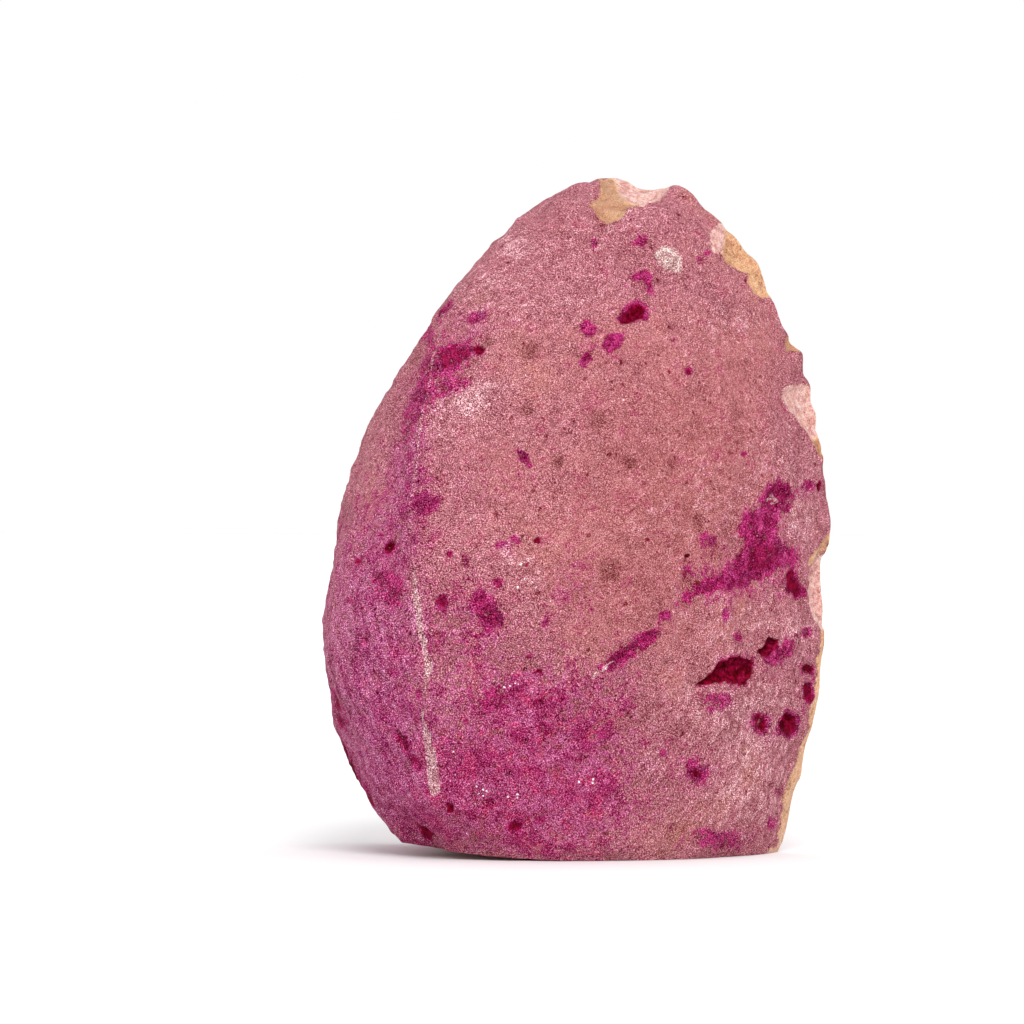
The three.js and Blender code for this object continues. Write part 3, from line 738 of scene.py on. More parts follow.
def make_piece(name, points, faces, materials, attributes=None, material_index=None, smooth=True):
    mesh = bpy.data.meshes.new(name)
    mesh.from_pydata((np.asarray(points) * MM).tolist(), [], faces)
    for key, values in (attributes or {}).items():
        layer = mesh.attributes.new(key, "FLOAT", "POINT")
        layer.data.foreach_set("value", np.asarray(values, dtype=np.float32))
    for material in materials:
        mesh.materials.append(material)
    if material_index is not None:
        mesh.polygons.foreach_set("material_index", np.asarray(material_index, dtype=np.int32))
    mesh.polygons.foreach_set("use_smooth", np.full(len(mesh.polygons), smooth))
    shape = bmesh.new()
    shape.from_mesh(mesh)
    bmesh.ops.recalc_face_normals(shape, faces=shape.faces[:])
    shape.to_mesh(mesh)
    shape.free()
    piece = bpy.data.objects.new(name, mesh)
    bpy.context.scene.collection.objects.link(piece)
    return piece


def strip(outer, inner):
    """Quads between two closed loops of equal length."""
    count = len(outer)
    return [(outer[i], outer[(i + 1) % count], inner[(i + 1) % count], inner[i]) for i in range(count)]


def wall_reach(tilt, turn):
    """How far the hollow's wall lies from the middle of its mouth."""
    direction = ray_direction(tilt, turn)
    start = HOLLOW + np.array([0.0, -0.05, 0.0])
    hit = stone_tree.ray_cast(Vector(start), Vector(direction))[0]
    return (hit - Vector(start)).length


def outline_reach(points, middle, turns):
    """The stone's outline round a point, from its polar corners, at the given turns."""
    off = points - middle
    angle = np.arctan2(off[:, 1], off[:, 0])
    order = np.argsort(angle)
    return np.interp(turns, angle[order], np.hypot(off[:, 0], off[:, 1])[order], period=2 * np.pi)


# Where the nodule went on below the base, as x and z: only the bands of the sawn face follow it.
LOST_FOOT = [(31.0, -13.0), (18.0, -20.0), (3.0, -22.0), (-10.0, -18.0), (-19.0, -11.0)]


def band_depth_on_face(points, rim):
    """0 at the rind and 1 at the hollow, in the plane of the sawn face."""
    middle = HOLLOW[[0, 2]]
    outline = np.vstack([rim[:, [0, 2]], np.array(LOST_FOOT)])
    outer = blur_line(outline_reach(outline, middle, ALL_ROUND), 9, wrap=True)
    inner = blur_line(np.array([wall_reach(math.pi / 2, t) for t in ALL_ROUND]), 9, wrap=True)
    off = points[:, [0, 2]] - middle
    angle, far = np.arctan2(off[:, 1], off[:, 0]), np.hypot(off[:, 0], off[:, 1])
    out_here = np.interp(angle, ALL_ROUND, outer, period=2 * np.pi)
    in_here = np.interp(angle, ALL_ROUND, inner, period=2 * np.pi)
    return (out_here - far) / (out_here - in_here)


def band_depth_on_base(points, edge):
    """0 at the rind and 1 at the middle, in the plane of the base."""
    middle = np.array([5.0, FACE_Y + 4.0])
    turns = np.linspace(-np.pi, 0.0, 360)
    outer = blur_line(outline_reach(edge[:, :2], middle, turns), 8)
    off = points[:, :2] - middle
    angle, far = np.arctan2(off[:, 1], off[:, 0]), np.hypot(off[:, 0], off[:, 1])
    return 1.0 - far / np.interp(angle, turns, outer)


def cut_foot(points, faces, paint):
    """The rind without what lies below the base, and the loop of points along its border."""
    shape = bmesh.new()
    layers = [(name, shape.verts.layers.float.new(name)) for name in paint]
    made = [shape.verts.new(p) for p in points.tolist()]
    for name, layer in layers:
        for vertex, value in zip(made, paint[name].tolist()):
            vertex[layer] = value
    for face in faces:
        shape.faces.new([made[i] for i in face])
    bmesh.ops.bisect_plane(
        shape, geom=shape.verts[:] + shape.edges[:] + shape.faces[:], dist=0.04,
        plane_co=(0, 0, 0), plane_no=(0, 0, 1), clear_inner=True)
    shape.verts.index_update()
    beside = {}
    for edge in shape.edges:
        if edge.is_boundary:
            a, b = (v.index for v in edge.verts)
            beside.setdefault(a, []).append(b)
            beside.setdefault(b, []).append(a)
    first = next(iter(beside))
    border = [first, beside[first][0]]
    while border[-1] != first:
        border.append(next(n for n in beside[border[-1]] if n != border[-2]))
    border = np.array(border[:-1])
    points = np.array([v.co[:] for v in shape.verts])
    faces = [[v.index for v in f.verts] for f in shape.faces]
    paint = {name: np.array([v[layer] for v in shape.verts]) for name, layer in layers}
    shape.free()
    points[border, 2] = np.where(points[border, 2] < 0.05, 0.0, points[border, 2])
    points[:, 2] = np.maximum(points[:, 2], 0.0)
    return points, faces, paint, border


def split_border(points, border):
    """The border as one corner, the arc of the rim, the other corner and the base's front edge."""
    on_base = points[border, 2] < 1e-6
    start = int(np.argmax(on_base & ~np.roll(on_base, -1)))
    border = np.roll(border, -start)
    rim_count = int((~on_base).sum())
    arc, corner = border[1:1 + rim_count], border[1 + rim_count]
    points[[border[0], corner], 1] = FACE_Y
    points[arc, 1] = FACE_Y
    return border[0], arc, corner, border[2 + rim_count:]


class Skin:
    """The stone's points and faces, gathered surface by surface."""

    def __init__(self, points, faces):
        self.points = [points]
        self.faces = faces
        self.material_index = [RIND] * len(faces)
        self.total = len(points)

    def add_points(self, points):
        """Their numbers."""
        self.points.append(points)
        self.total += len(points)
        return np.arange(self.total - len(points), self.total)

    def add_faces(self, faces, material):
        self.faces += faces
        self.material_index += [material] * len(faces)


def saw_base(skin, rind, near, far, front):
    """Rows of points from the base's curved front edge to its straight back edge, and the back edge."""
    count = len(front)
    back_share = np.linspace(0, 1, count + 2)[1:-1, None]
    back = rind[far] + (rind[near] - rind[far]) * back_share
    rows = [front]
    for k in range(1, BASE_ROWS + 1):
        rows.append(skin.add_points(rind[front] + (back - rind[front]) * k / BASE_ROWS))
    for upper, lower in zip(rows, rows[1:]):
        skin.add_faces([(upper[i], upper[i + 1], lower[i + 1], lower[i]) for i in range(count - 1)], BASE)
        skin.add_faces([(far, upper[0], lower[0]), (near, lower[-1], upper[-1])], BASE)
    return rows, back


def saw_face(skin, outer, outer_points):
    """Rings from the outline of the sawn face to the mouth of the hollow, and on down its wall."""
    off = outer_points - HOLLOW
    turns = np.arctan2(off[:, 2], off[:, 0])
    count = len(outer)

    def wall(tilt):
        reach = blur_line(np.array([wall_reach(tilt, t) for t in ALL_ROUND]), 3, wrap=True)
        reach = np.interp(turns, ALL_ROUND, reach, period=2 * np.pi)
        return HOLLOW + ray_direction(np.full(count, tilt), turns) * reach[:, None]

    mouth = wall(math.pi / 2)
    rings = [outer_points + (mouth - outer_points) * k / FACE_RINGS for k in range(1, FACE_RINGS + 1)]
    rings += [wall(math.pi / 2 * (1 - k / WALL_RINGS)) for k in range(1, WALL_RINGS)]
    ring = outer
    for ring_points in rings:
        new = skin.add_points(ring_points)
        skin.add_faces(strip(new, ring), FACE)
        ring = new
    deepest = skin.add_points(HOLLOW[None] - np.array([[0.0, wall_reach(0.0, 0.0), 0.0]]))[0]
    skin.add_faces([(ring[i], deepest, ring[(i + 1) % count]) for i in range(count)], FACE)


def build_stone(rind_finish, face_finish, base_finish):
    points, paint = shape_rind()
    number = np.arange(len(points)).reshape(GRID + 1, GRID + 1)
    quads = np.stack([number[:-1, :-1], number[:-1, 1:], number[1:, 1:], number[1:, :-1]], axis=-1)
    rind, faces, paint, border = cut_foot(points, quads.reshape(-1, 4).tolist(), paint)
    near, arc, far, front = split_border(rind, border)
    skin = Skin(rind, faces)
    rows, back = saw_base(skin, rind, near, far, front)
    base_numbers = np.concatenate(rows[1:])
    outer = np.concatenate([[near], arc, [far], rows[-1]])
    saw_face(skin, outer, np.vstack([rind[near][None], rind[arc], rind[far][None], back]))

    everything = np.vstack(skin.points)
    added = np.zeros(skin.total - len(rind))
    attributes = {name: np.concatenate([values, added]) for name, values in paint.items()}
    on_face = np.concatenate([outer, np.arange(len(rind) + len(base_numbers), skin.total)])
    band = np.zeros(skin.total)
    band[base_numbers] = band_depth_on_base(everything[base_numbers], rind[front])
    band[on_face] = band_depth_on_face(everything[on_face], rind[arc])
    attributes["band"] = band

    finishes = [rind_finish, face_finish, base_finish]
    piece = make_piece("agate_body", lift_foot(everything), skin.faces, finishes, attributes,
                       skin.material_index)
    mark_sharp(piece.data, outer, np.concatenate([[far], front, [near]]))
    return piece


def mark_sharp(mesh, *loops):
    """The edges where two surfaces of the stone meet stay crisp."""
    on_loop = np.zeros(len(mesh.vertices), dtype=bool)
    for numbers in loops:
        on_loop[numbers] = True
    ends = np.zeros(len(mesh.edges) * 2, dtype=np.int32)
    mesh.edges.foreach_get("vertices", ends)
    ends = ends.reshape(-1, 2)
    sharp = on_loop[ends[:, 0]] & on_loop[ends[:, 1]]
    layer = mesh.attributes.get("sharp_edge") or mesh.attributes.new("sharp_edge", "BOOLEAN", "EDGE")
    layer.data.foreach_set("value", sharp)


# ---- The crystals in the hollow ----

def crystal(root, inwards, radius, length, spin):
    """A six-sided crystal with a pointed end: its points and faces."""
    inwards = inwards / np.linalg.norm(inwards)
    side = np.cross(inwards, [0.3, 0.5, 0.8])
    side /= np.linalg.norm(side)
    other = np.cross(inwards, side)
    points, faces = [], []
    for height, width in ((-ROOT_DEPTH, 0.9), (length - POINT_LENGTH * radius, 1.0)):
        for i in range(6):
            angle = spin + i * math.pi / 3
            out = side * math.cos(angle) + other * math.sin(angle)
            points.append(root + inwards * height + out * radius * width)
    points.append(root + inwards * length)
    for i in range(6):
        j = (i + 1) % 6
        faces.append((i, j, 6 + j, 6 + i))
        faces.append((6 + i, 6 + j, 12))
    faces.append((5, 4, 3, 2, 1, 0))
    return points, faces


def cut_flush(points, faces, below):
    """A crystal without what would stand nearer to the sawn face than that, with the cut closed."""
    shape = bmesh.new()
    made = [shape.verts.new(p) for p in points]
    for face in faces:
        shape.faces.new([made[n] for n in face])
    bmesh.ops.bisect_plane(
        shape, geom=shape.verts[:] + shape.edges[:] + shape.faces[:], dist=1e-5,
        plane_co=(0, FACE_Y - below, 0), plane_no=(0, 1, 0), clear_outer=True)
    bmesh.ops.holes_fill(shape, edges=[e for e in shape.edges if e.is_boundary], sides=0)
    bmesh.ops.recalc_face_normals(shape, faces=shape.faces[:])
    shape.verts.index_update()
    points = [tuple(v.co) for v in shape.verts]
    faces = [[v.index for v in f.verts] for f in shape.faces]
    shape.free()
    return points, faces


def crystal_points(chance):
    """All the crystals, as points and faces."""
    points, faces = [], []
    golden = math.pi * (3 - math.sqrt(5))
    for i in range(CRYSTALS):
        tilt = math.acos(1 - (i + 0.5) / CRYSTALS * 0.99)
        turn = i * golden
        direction = ray_direction(tilt, turn)
        root = HOLLOW + direction * (wall_reach(tilt, turn) - CRUST_GAP - CRUST_THICK)
        inwards = 0.5 * (chance.random(3) - 0.5) - direction
        radius = 0.8 + 1.9 * chance.random() ** 2.0
        length = radius * (1.5 + 1.4 * chance.random())
        made, made_faces = crystal(root, inwards, radius, length, chance.random() * math.pi)
        made, made_faces = cut_flush(made, made_faces, 0.05 + 0.3 * i / CRYSTALS)
        faces += [[len(points) + n for n in face] for face in made_faces]
        points += made
    return points, faces


def build_crust(finish):
    """The crust with its crystals, from rings of points down the wall of the hollow."""
    around, down = 128, 26
    table = np.linspace(-np.pi, np.pi, around, endpoint=False)
    tilts = [math.pi / 2 * (1 - k / down) for k in range(down)]
    reach = np.array([[wall_reach(tilt, t) for t in table] for tilt in tilts])
    reach = blur_line(blur_line(reach.T, 1.2, wrap=True).T, 0.8)
    points, faces = crystal_points(np.random.default_rng(SEED + 1))

    def lining(inset, inward):
        """One side of the crust, that far off the wall; its first ring."""
        rings = []
        for tilt, row in zip(tilts, reach):
            rings.append(np.arange(len(points), len(points) + around))
            ring = HOLLOW + ray_direction(np.full(around, tilt), table) * (row - inset)[:, None]
            ring[:, 1] = np.minimum(ring[:, 1], FACE_Y - 0.02)
            points.extend(map(tuple, ring))
        for a, b in zip(rings, rings[1:]):
            faces.extend(strip(a, b) if inward else strip(b, a))
        points.append(tuple(HOLLOW + ray_direction(0.0, 0.0) * (reach[-1].mean() - inset)))
        tip, last = len(points) - 1, rings[-1]
        for i in range(around):
            j = (i + 1) % around
            faces.append((last[i], last[j], tip) if inward else (last[j], last[i], tip))
        return rings[0]

    outer_ring = lining(CRUST_GAP, False)
    inner_ring = lining(CRUST_GAP + CRUST_THICK, True)
    faces.extend(strip(outer_ring, inner_ring))
    return make_piece("quartz_crystals", np.array(points), faces, [finish], smooth=False)


# ---- Shader expressions ----

class Value:
    """A socket that can be added, subtracted, multiplied and divided."""

    def __init__(self, finish, socket):
        self.finish = finish
        self.socket = socket

    def __add__(self, other):
        return self.finish.math("ADD", self, other)

    __radd__ = __add__

    def __sub__(self, other):
        return self.finish.math("SUBTRACT", self, other)

    def __rsub__(self, other):
        return self.finish.math("SUBTRACT", other, self)

    def __mul__(self, other):
        return self.finish.math("MULTIPLY", self, other)

    __rmul__ = __mul__

    def __truediv__(self, other):
        return self.finish.math("DIVIDE", self, other)

    def part(self, name):
        """Another output of the node that this value comes from."""
        return Value(self.finish, self.socket.node.outputs[name])


class Finish:
    """A material and the nodes in it."""

    def __init__(self, name):
        self.material = bpy.data.materials.new(name)
        self.material.use_nodes = True
        self.tree = self.material.node_tree
        self.tree.nodes.clear()
        self.place = self.node("TexCoord", output="Object")

    def node(self, kind, settings=None, sockets=None, output=0):
        made = self.tree.nodes.new("ShaderNode" + kind)
        for key, value in (settings or {}).items():
            if key == "stops":
                self.set_stops(made.color_ramp, value)
            else:
                setattr(made, key, value)
        for key, value in (sockets or {}).items():
            if isinstance(value, Value):
                self.tree.links.new(value.socket, made.inputs[key])
            else:
                made.inputs[key].default_value = value
        return Value(self, made.outputs[output]) if made.outputs else made

    @staticmethod
    def set_stops(ramp, stops):
        while len(ramp.elements) < len(stops):
            ramp.elements.new(1.0)
        for element, (position, colour) in zip(ramp.elements, stops):
            element.position = position
            element.color = colour

    def math(self, operation, *values):
        return self.node("Math", {"operation": operation}, dict(enumerate(values)))

    def step(self, value, low, high):
        """0 below low, 1 above high, smooth between."""
        return self.node("MapRange", {"interpolation_type": "SMOOTHSTEP"},
                         {0: value, 1: low, 2: high, 3: 0.0, 4: 1.0})

    def noise(self, per_metre, detail, roughness, place=None):
        return self.node("TexNoise", None, {"Vector": place or self.place, "Scale": per_metre,
                                            "Detail": detail, "Roughness": roughness})

    def cells(self, per_metre):
        """The distance to the nearest of many scattered points; its part "Color" differs in each cell."""
        return self.node("TexVoronoi", None, {"Vector": self.place, "Scale": per_metre})

    def mottle(self, per_metre, detail, roughness, shift=(0.0, 0.0, 0.0)):
        """Noise about zero, mostly between -1 and 1."""
        place = self.node("VectorMath", {"operation": "ADD"}, {0: self.place, 1: shift})
        return (self.noise(per_metre, detail, roughness, place) - 0.5) * MOTTLE_GAIN

    def streaks(self, per_metre, lean, stretch):
        """Noise about zero, drawn out along a line that is turned about Y from X."""
        place = self.node("Mapping", {"vector_type": "TEXTURE"},
                          {"Vector": self.place, "Rotation": (0.0, lean, 0.0), "Scale": (stretch, 1.0, 1.0)})
        return (self.noise(per_metre, 3, 0.65, place) - 0.5) * MOTTLE_GAIN

    def mix(self, share, first, second):
        """A mix of two colours; the sockets and the output are the ones that a colour mix uses."""
        return self.node("Mix", {"data_type": "RGBA"}, {0: share, 6: first, 7: second}, 2)

    def painted(self, name):
        return self.node("Attribute", {"attribute_name": name}, output="Fac")

    def bump(self, strength, distance, height):
        return self.node("Bump", None, {"Strength": strength, "Distance": distance, "Height": height})

    def shader(self, sockets):
        return self.node("BsdfPrincipled", None, sockets)

    def finish(self, surface):
        self.node("OutputMaterial", None, {"Surface": surface})
        return self.material


def tint(red, green, blue, strength=1.0):
    """A colour given as screen values from 0 to 255."""
    def linear(c):
        c /= 255.0
        return c / 12.92 if c <= 0.04045 else ((c + 0.055) / 1.055) ** 2.4
    return (linear(red) * strength, linear(green) * strength, linear(blue) * strength, 1.0)


LIT = 0.8  # what is left for the pigments once the studio's light is counted
MOTTLE_GAIN = 5.0  # noise keeps near its middle, so this brings it to about -1 to 1
UP_SLOPE, DOWN_FLANK = -0.75, 1.21  # which way the streaks run, turned about Y from X


def lit(red, green, blue):
    return tint(red, green, blue, LIT)


def with_lightness_shift(f, colour, shade):
    """The colour made lighter and darker as it is seen, without changing its hue."""
    seen = f.node("Gamma", None, {0: colour, 1: 1.0 / 2.2})
    seen = f.node("VectorMath", {"operation": "ADD"}, {0: seen, 1: shade})
    seen = f.node("VectorMath", {"operation": "MAXIMUM"}, {0: seen, 1: (0.02, 0.02, 0.02)})
    return f.node("Gamma", None, {0: seen, 1: 2.2})


def rind_mottles(f):
    """The rind's mottles from coarse to fine, its streaks, and the ragged edge of its marks."""
    m = SimpleNamespace(
        blotch=f.mottle(55, 3, 0.55),
        patch=f.mottle(190, 3, 0.6),
        clump=f.mottle(430, 3, 0.65, (0.4, 0.1, 0.7)),
        crumb=f.mottle(1000, 3, 0.7, (0.2, 0.6, 0.3)),
        grain=f.mottle(5400, 1, 0.6),
        streak=f.streaks(800, UP_SLOPE, 3.5),
        furrow=f.streaks(560, DOWN_FLANK, 4.0),
    )
    m.ragged = 0.25 * m.patch + 0.3 * m.clump + 0.45 * m.crumb
    return m


def stone_colour(f, m, warmth):
    """The stone under the dye, mottled with brown, salmon and red."""
    colour = f.mix(warmth, lit(197, 118, 130), lit(202, 124, 126))
    colour = f.mix(f.step(m.patch + 0.8 * m.clump, 0.2, 0.9) * 0.55, colour, lit(178, 80, 98))
    colour = f.mix(f.step(m.clump - 0.6 * m.patch, 0.2, 0.9) * 0.5, colour, lit(210, 140, 142))
    colour = f.mix(f.step(m.blotch + 0.7 * m.crumb, 0.5, 1.4) * 0.5, colour, lit(194, 122, 96))
    return f.mix(f.step(0.9 * m.clump + 0.7 * m.crumb, 0.5, 0.95) * 0.5, colour, lit(182, 62, 88))


def magenta_dye(f, m):
    colour = f.mix(f.step(m.clump + 0.7 * m.crumb, -0.7, 0.7), lit(182, 54, 112), lit(202, 92, 146))
    bright = f.step(0.5 * m.crumb - m.clump + 0.4 * m.patch, 0.2, 0.7)
    colour = f.mix(bright * 0.6, colour, lit(206, 30, 100))
    deep = f.step(0.8 * m.patch + 0.7 * m.clump + 0.3 * m.crumb, 0.05, 0.45)
    colour = f.mix(deep * 0.9, colour, lit(154, 0, 80))
    return f.mix(f.step(m.crumb + 0.5 * m.clump, 0.8, 1.2) * 0.7, colour, lit(138, 0, 58))


def violet_flank(f, m, colour, violet, flank):
    """A violet cast with streaks down the left flank: crimson in the furrows, partly painted shade, and pale
    painted highlights on the ridges between.
    """
    colour = f.mix(violet * 0.46, colour, lit(192, 72, 144))
    colour = f.mix(f.step(m.furrow + 0.3 * m.crumb, 0.1, 0.65) * flank * 0.75, colour, lit(158, 18, 92))
    # Painted highlights: pale streaks on the ridges between the furrows.
    return f.mix(f.step(0.3 * m.crumb - m.furrow, 0.1, 0.8) * flank * 0.6, colour, lit(214, 122, 168))


def stain_ink(f, m):
    ink = f.mix(f.step(m.clump + 0.8 * m.crumb, -0.7, 0.7), lit(142, 4, 72), lit(196, 44, 118))
    return f.mix(f.step(m.patch + 0.6 * m.crumb, 0.2, 0.9) * 0.7, ink, lit(112, 0, 58))


def chalky_marks(f, m, colour, scrape):
    chalk = f.step(scrape * (1.0 + 0.6 * m.ragged + 0.25 * m.grain), 0.3, 0.7)
    chalky = f.mix(f.step(m.crumb + 0.5 * m.grain, -0.9, 0.9), lit(190, 130, 134), lit(246, 212, 206))
    return f.mix(chalk * (0.6 + 0.36 * f.step(scrape, 0.75, 0.95)), colour, chalky)


def with_painted_sparkle(f, m, colour, glint, stained):
    # Painted glints: white dots mixed into the colour in place of light caught by tiny facets, more of them
    # where they crowd together.
    flashes = f.cells(1300)
    flash = f.step(flashes, 0.24, 0.1) * f.step(flashes.part("Color") + 0.2 * m.clump, 0.92, 0.97)
    colour = f.mix(flash * (1.0 - stained), colour, lit(255, 244, 248))
    sparks = f.cells(1100)
    spark = f.step(sparks, 0.29, 0.19) * f.step(sparks.part("Color") + 0.7 * glint, 1.0, 1.04)
    return f.mix(spark, colour, tint(255, 246, 248))


def fresh_chip(f, m, chip, white):
    """Freshly broken agate, from honey to milky white."""
    honey = f.mix(f.step(m.patch + 0.5 * m.clump, -0.8, 1.0), lit(188, 126, 86), lit(214, 162, 124))
    milky = f.mix(f.step(m.crumb + 0.5 * m.clump, -0.7, 1.0), lit(216, 148, 144), lit(244, 204, 192))
    whiteness = white / (chip + 0.02)
    flesh = f.mix(f.step(whiteness + 0.25 * m.ragged, 0.15, 0.45), honey, lit(230, 176, 130))
    flesh = f.mix(f.step(whiteness + 0.3 * m.ragged, 0.4, 0.85), flesh, milky)
    flesh = f.mix(f.step(m.clump - 0.6 * m.crumb, 0.4, 1.2) * 0.5, flesh, lit(198, 92, 112))
    flesh = with_lightness_shift(f, flesh, 0.16 * m.grain + 0.03 * m.crumb)
    return f.shader({
        "Base Color": flesh, "Roughness": 0.42 + 0.1 * m.crumb, "Specular IOR Level": 0.4,
        "Subsurface Weight": 0.25, "Subsurface Radius": (0.003, 0.0015, 0.001), "Subsurface Scale": 1.0,
        "Normal": f.bump(0.7, 0.0005, m.patch + 0.6 * m.clump + 0.4 * m.crumb),
    })


def rind_finish():
    f = Finish("dyed_rind")
    pit, dye, pale, zone = (f.painted(name) for name in ("pit", "dye", "pale", "zone"))
    warm, violet, chip = (f.painted(name) for name in ("warm", "violet", "chip"))
    brown, scrape, white, glint = (f.painted(name) for name in ("brown", "scrape", "white", "glint"))
    m = rind_mottles(f)

    warmth = f.step(warm + 0.25 * m.blotch + 0.15 * m.patch, 0.1, 0.8)
    worn = f.step(pale + 0.6 * m.ragged + 0.5 * m.streak, 0.25, 1.0)
    reddened = f.step(zone + 0.9 * m.ragged, 0.1, 0.9)
    flank = f.step(violet, 0.05, 0.5)
    colour = f.mix(worn * 0.66, stone_colour(f, m, warmth), lit(228, 166, 174))
    colour = f.mix(reddened, colour, magenta_dye(f, m))
    colour = violet_flank(f, m, colour, violet, flank)

    freckles = f.cells(150)
    freckle = f.step(freckles + 0.1 * m.crumb, 0.2, 0.08) * f.step(freckles.part("Color"), 0.5, 0.55)
    freckle = freckle * (1.0 - 0.75 * warmth)
    stained = f.step(dye + (0.35 + 0.55 * dye) * m.ragged + 0.4 * freckle, 0.3, 0.72)
    colour = f.mix(stained, colour, stain_ink(f, m))
    colour = f.mix(f.step(brown + 0.4 * m.crumb, 0.2, 1.1) * 0.8, colour, lit(150, 74, 76))

    specks = f.cells(300)
    speck = f.step(specks + 0.05 * m.crumb, 0.17, 0.09) * f.step(specks.part("Color"), 0.46, 0.5)
    colour = f.mix(speck * 0.8, colour, f.mix(reddened, lit(150, 34, 56), lit(122, 0, 54)))
    # Dark crimson in the pits and the dark stains: dye pooled there, deepened with painted shade of the
    # hollows.
    sunk = f.step(pit + (0.15 + 0.4 * pit) * m.ragged, 0.25, 0.7)
    crimson = f.mix(f.step(m.crumb + 0.6 * m.clump, -0.9, 1.0), lit(96, 0, 26), lit(164, 6, 58))
    colour = f.mix(sunk, colour, crimson)
    colour = chalky_marks(f, m, colour, scrape)
    colour = with_painted_sparkle(f, m, colour, glint, stained)

    coarse = (0.37 - 0.13 * warmth + 0.18 * worn) * (1.0 + 0.35 * violet)
    coarse = coarse * (1.0 - 0.8 * sunk) * (1.0 - 0.1 * stained)
    # Beside the grain, this lightness follows the same mottles as the bump height below, so it is partly
    # painted shade of the relief: lighter on the bumps, darker in the hollows.
    shade = coarse * m.grain + 0.045 * m.crumb + 0.04 * m.streak + 0.035 * m.clump
    shade = shade + 0.055 * m.patch + 0.035 * m.blotch - 0.02 - 0.012 * violet
    height = 0.9 * m.patch + 0.6 * m.clump + 0.4 * m.crumb + 0.4 * m.streak + 0.2 * m.grain
    height = height - 0.8 * speck - 0.9 * m.furrow * flank
    rind = f.shader({
        "Base Color": with_lightness_shift(f, colour, shade), "Roughness": 0.85 - 0.1 * worn,
        "Normal": f.bump(0.9, 0.0004, height), "Specular IOR Level": 0.04,
    })
    broken = f.step(chip * (1.0 + 0.7 * m.ragged + 0.3 * m.grain), 0.3, 0.7)
    return f.finish(f.node("MixShader", None, {0: broken, 1: rind, 2: fresh_chip(f, m, chip, white)}))


def sawn_face_finish():
    f = Finish("polished_agate")
    band = f.painted("band")
    wander = f.noise(28, 2, 0.5)
    ripple = f.noise(160, 2, 0.5)
    depth = band + 0.055 * (wander - 0.5) + 0.012 * (ripple - 0.5)
    stops = [
        (0.00, lit(150, 60, 88)), (0.03, lit(214, 120, 140)), (0.07, lit(236, 176, 142)),
        (0.12, lit(228, 140, 150)), (0.20, lit(206, 50, 116)), (0.30, lit(232, 110, 158)),
        (0.38, lit(190, 22, 96)), (0.46, lit(240, 168, 190)), (0.55, lit(214, 60, 128)),
        (0.64, lit(166, 14, 84)), (0.72, lit(238, 150, 180)), (0.80, lit(250, 220, 226)),
        (0.86, lit(226, 104, 156)), (0.93, lit(248, 226, 230)), (1.00, lit(222, 170, 192)),
    ]
    colour = f.node("ValToRGB", {"stops": stops}, {0: depth})
    lines = f.math("SINE", depth * 210.0)
    finer = f.math("SINE", depth * 470.0 + 4.0 * wander)
    colour = f.mix(f.step(lines, 0.1, 0.9) * 0.3, colour, lit(250, 214, 224))
    colour = f.mix(f.step(finer, 0.3, 1.0) * 0.22, colour, lit(170, 20, 90))
    cloud = f.noise(90, 3, 0.6)
    colour = f.mix(f.step(cloud, 0.45, 0.75) * 0.2, colour, lit(245, 190, 200))
    crust = f.step(depth, 0.012, 0.0)
    colour = f.mix(crust * 0.7, colour, lit(168, 92, 100))
    return f.finish(f.shader({
        "Base Color": colour, "Roughness": 0.14 + 0.1 * crust, "Normal": f.bump(0.08, 0.0003, ripple),
        "IOR": 1.54, "Coat Weight": 0.5, "Coat Roughness": 0.05,
        "Subsurface Weight": 0.12, "Subsurface Radius": (0.004, 0.002, 0.002), "Subsurface Scale": 1.0,
    }))


def sawn_base_finish():
    f = Finish("sawn_base")
    band = f.painted("band")
    wander = f.noise(35, 2, 0.5)
    depth = band + 0.07 * (wander - 0.5)
    stops = [
        (0.00, lit(160, 80, 96)), (0.05, lit(212, 136, 140)), (0.14, lit(222, 160, 140)),
        (0.26, lit(206, 110, 140)), (0.40, lit(188, 60, 112)), (0.55, lit(222, 150, 166)),
        (0.72, lit(196, 84, 130)), (0.88, lit(226, 176, 184)), (1.00, lit(206, 130, 150)),
    ]
    colour = f.node("ValToRGB", {"stops": stops}, {0: depth})
    lines = f.math("SINE", depth * 160.0)
    colour = f.mix(f.step(lines, 0.1, 0.9) * 0.2, colour, lit(236, 190, 196))
    marks = f.node("TexWave", {"wave_type": "BANDS", "bands_direction": "X"},
                   {"Vector": f.place, "Scale": 260.0, "Distortion": 1.5, "Detail": 2.0}, "Fac")
    grain = f.noise(2000, 2, 0.6)
    colour = f.mix(f.step(grain, 0.5, 0.75) * 0.3, colour, lit(236, 206, 206))
    return f.finish(f.shader({
        "Base Color": colour, "Roughness": 0.5 + 0.15 * grain, "IOR": 1.54,
        "Normal": f.bump(0.3, 0.0003, 0.6 * marks + 0.4 * grain),
    }))


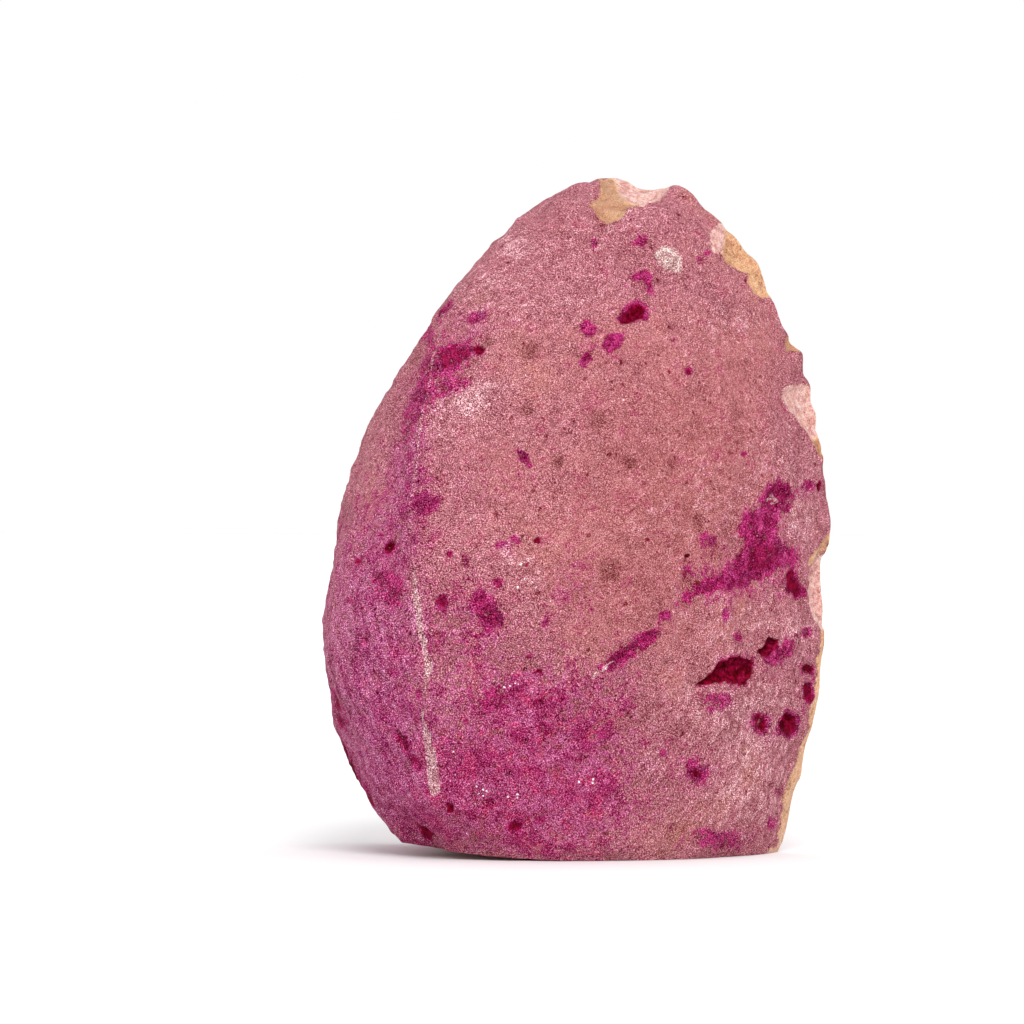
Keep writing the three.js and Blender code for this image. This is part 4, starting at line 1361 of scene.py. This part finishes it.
def quartz_finish():
    f = Finish("pink_quartz")
    cloud = f.mottle(130, 3, 0.6)
    veil = f.mottle(500, 2, 0.6)
    speck = f.mottle(1500, 2, 0.5)
    colour = f.mix(f.step(cloud + 0.4 * veil, -0.8, 1.0), tint(250, 204, 222), tint(238, 120, 172))
    colour = f.mix(f.step(veil + 0.4 * speck, 0.4, 1.3) * 0.6, colour, tint(255, 246, 248))
    colour = f.mix(f.step(speck - cloud, 0.9, 1.6) * 0.35, colour, tint(214, 50, 126))
    return f.finish(f.shader({
        "Base Color": colour, "Roughness": 0.08 + 0.03 * speck, "IOR": 1.544,
        "Normal": f.bump(0.15, 0.0002, veil + 0.5 * speck),
        "Transmission Weight": 0.45, "Coat Weight": 0.6, "Coat Roughness": 0.03,
        "Subsurface Weight": 0.2, "Subsurface Radius": (0.003, 0.002, 0.002), "Subsurface Scale": 1.0,
        # Painted light: the faint pink emission is a glow standing in for light that comes through the
        # crystals into the shaded hollow.
        "Emission Color": colour, "Emission Strength": 0.11,
    }))


# ---- Floor, lights, camera ----

KEY_FROM = (0.42, -0.8, 0.8)  # the key light is high on the right, a little in front
KEY_STRENGTH = 1.9
FLOOR_HALF, FLOOR_Z = 6000.0, -0.05


def floor_finish():
    f = Finish("pale_floor")
    soft = f.noise(3, 2, 0.5)
    colour = f.mix(soft, (0.86, 0.86, 0.86, 1.0), (0.88, 0.88, 0.88, 1.0))
    return f.finish(f.shader({"Base Color": colour, "Roughness": 0.9, "Specular IOR Level": 0.1}))


def build_floor():
    corners = [(x * FLOOR_HALF, y * FLOOR_HALF, FLOOR_Z) for x, y in ((-1, -1), (1, -1), (1, 1), (-1, 1))]
    floor = make_piece("floor", corners, [(0, 1, 2, 3)], [floor_finish()], smooth=False)


def build_camera():
    data = bpy.data.cameras.new("camera")
    data.lens, data.sensor_width = LENS, SENSOR
    data.clip_start, data.clip_end = 0.05, 30.0
    camera = bpy.data.objects.new("camera", data)
    camera.location = Vector(EYE * MM)
    camera.rotation_euler = Matrix((RIGHT, UP, BACK)).transposed().to_euler()
    bpy.context.scene.collection.objects.link(camera)
    bpy.context.scene.camera = camera


def build_light():
    world = bpy.data.worlds.new("studio")
    world.use_nodes = True
    world.node_tree.nodes["Background"].inputs["Color"].default_value = (1.0, 1.0, 1.0, 1.0)
    world.node_tree.nodes["Background"].inputs["Strength"].default_value = 1.0
    bpy.context.scene.world = world
    data = bpy.data.lights.new("key", "SUN")
    data.energy, data.angle = KEY_STRENGTH, math.radians(24.0)
    light = bpy.data.objects.new("key", data)
    light.rotation_euler = Vector(KEY_FROM).to_track_quat("Z", "Y").to_euler()
    bpy.context.scene.collection.objects.link(light)
    bpy.context.scene.view_settings.view_transform = "Standard"


def dress():
    stone = build_stone(rind_finish(), sawn_face_finish(), sawn_base_finish())
    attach(stone, "root")
    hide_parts("agate_stone")
    crystals = build_crust(quartz_finish())
    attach(crystals, "root")
    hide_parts("quartz_crust")


build_camera()
build_light()
build_floor()
dress()
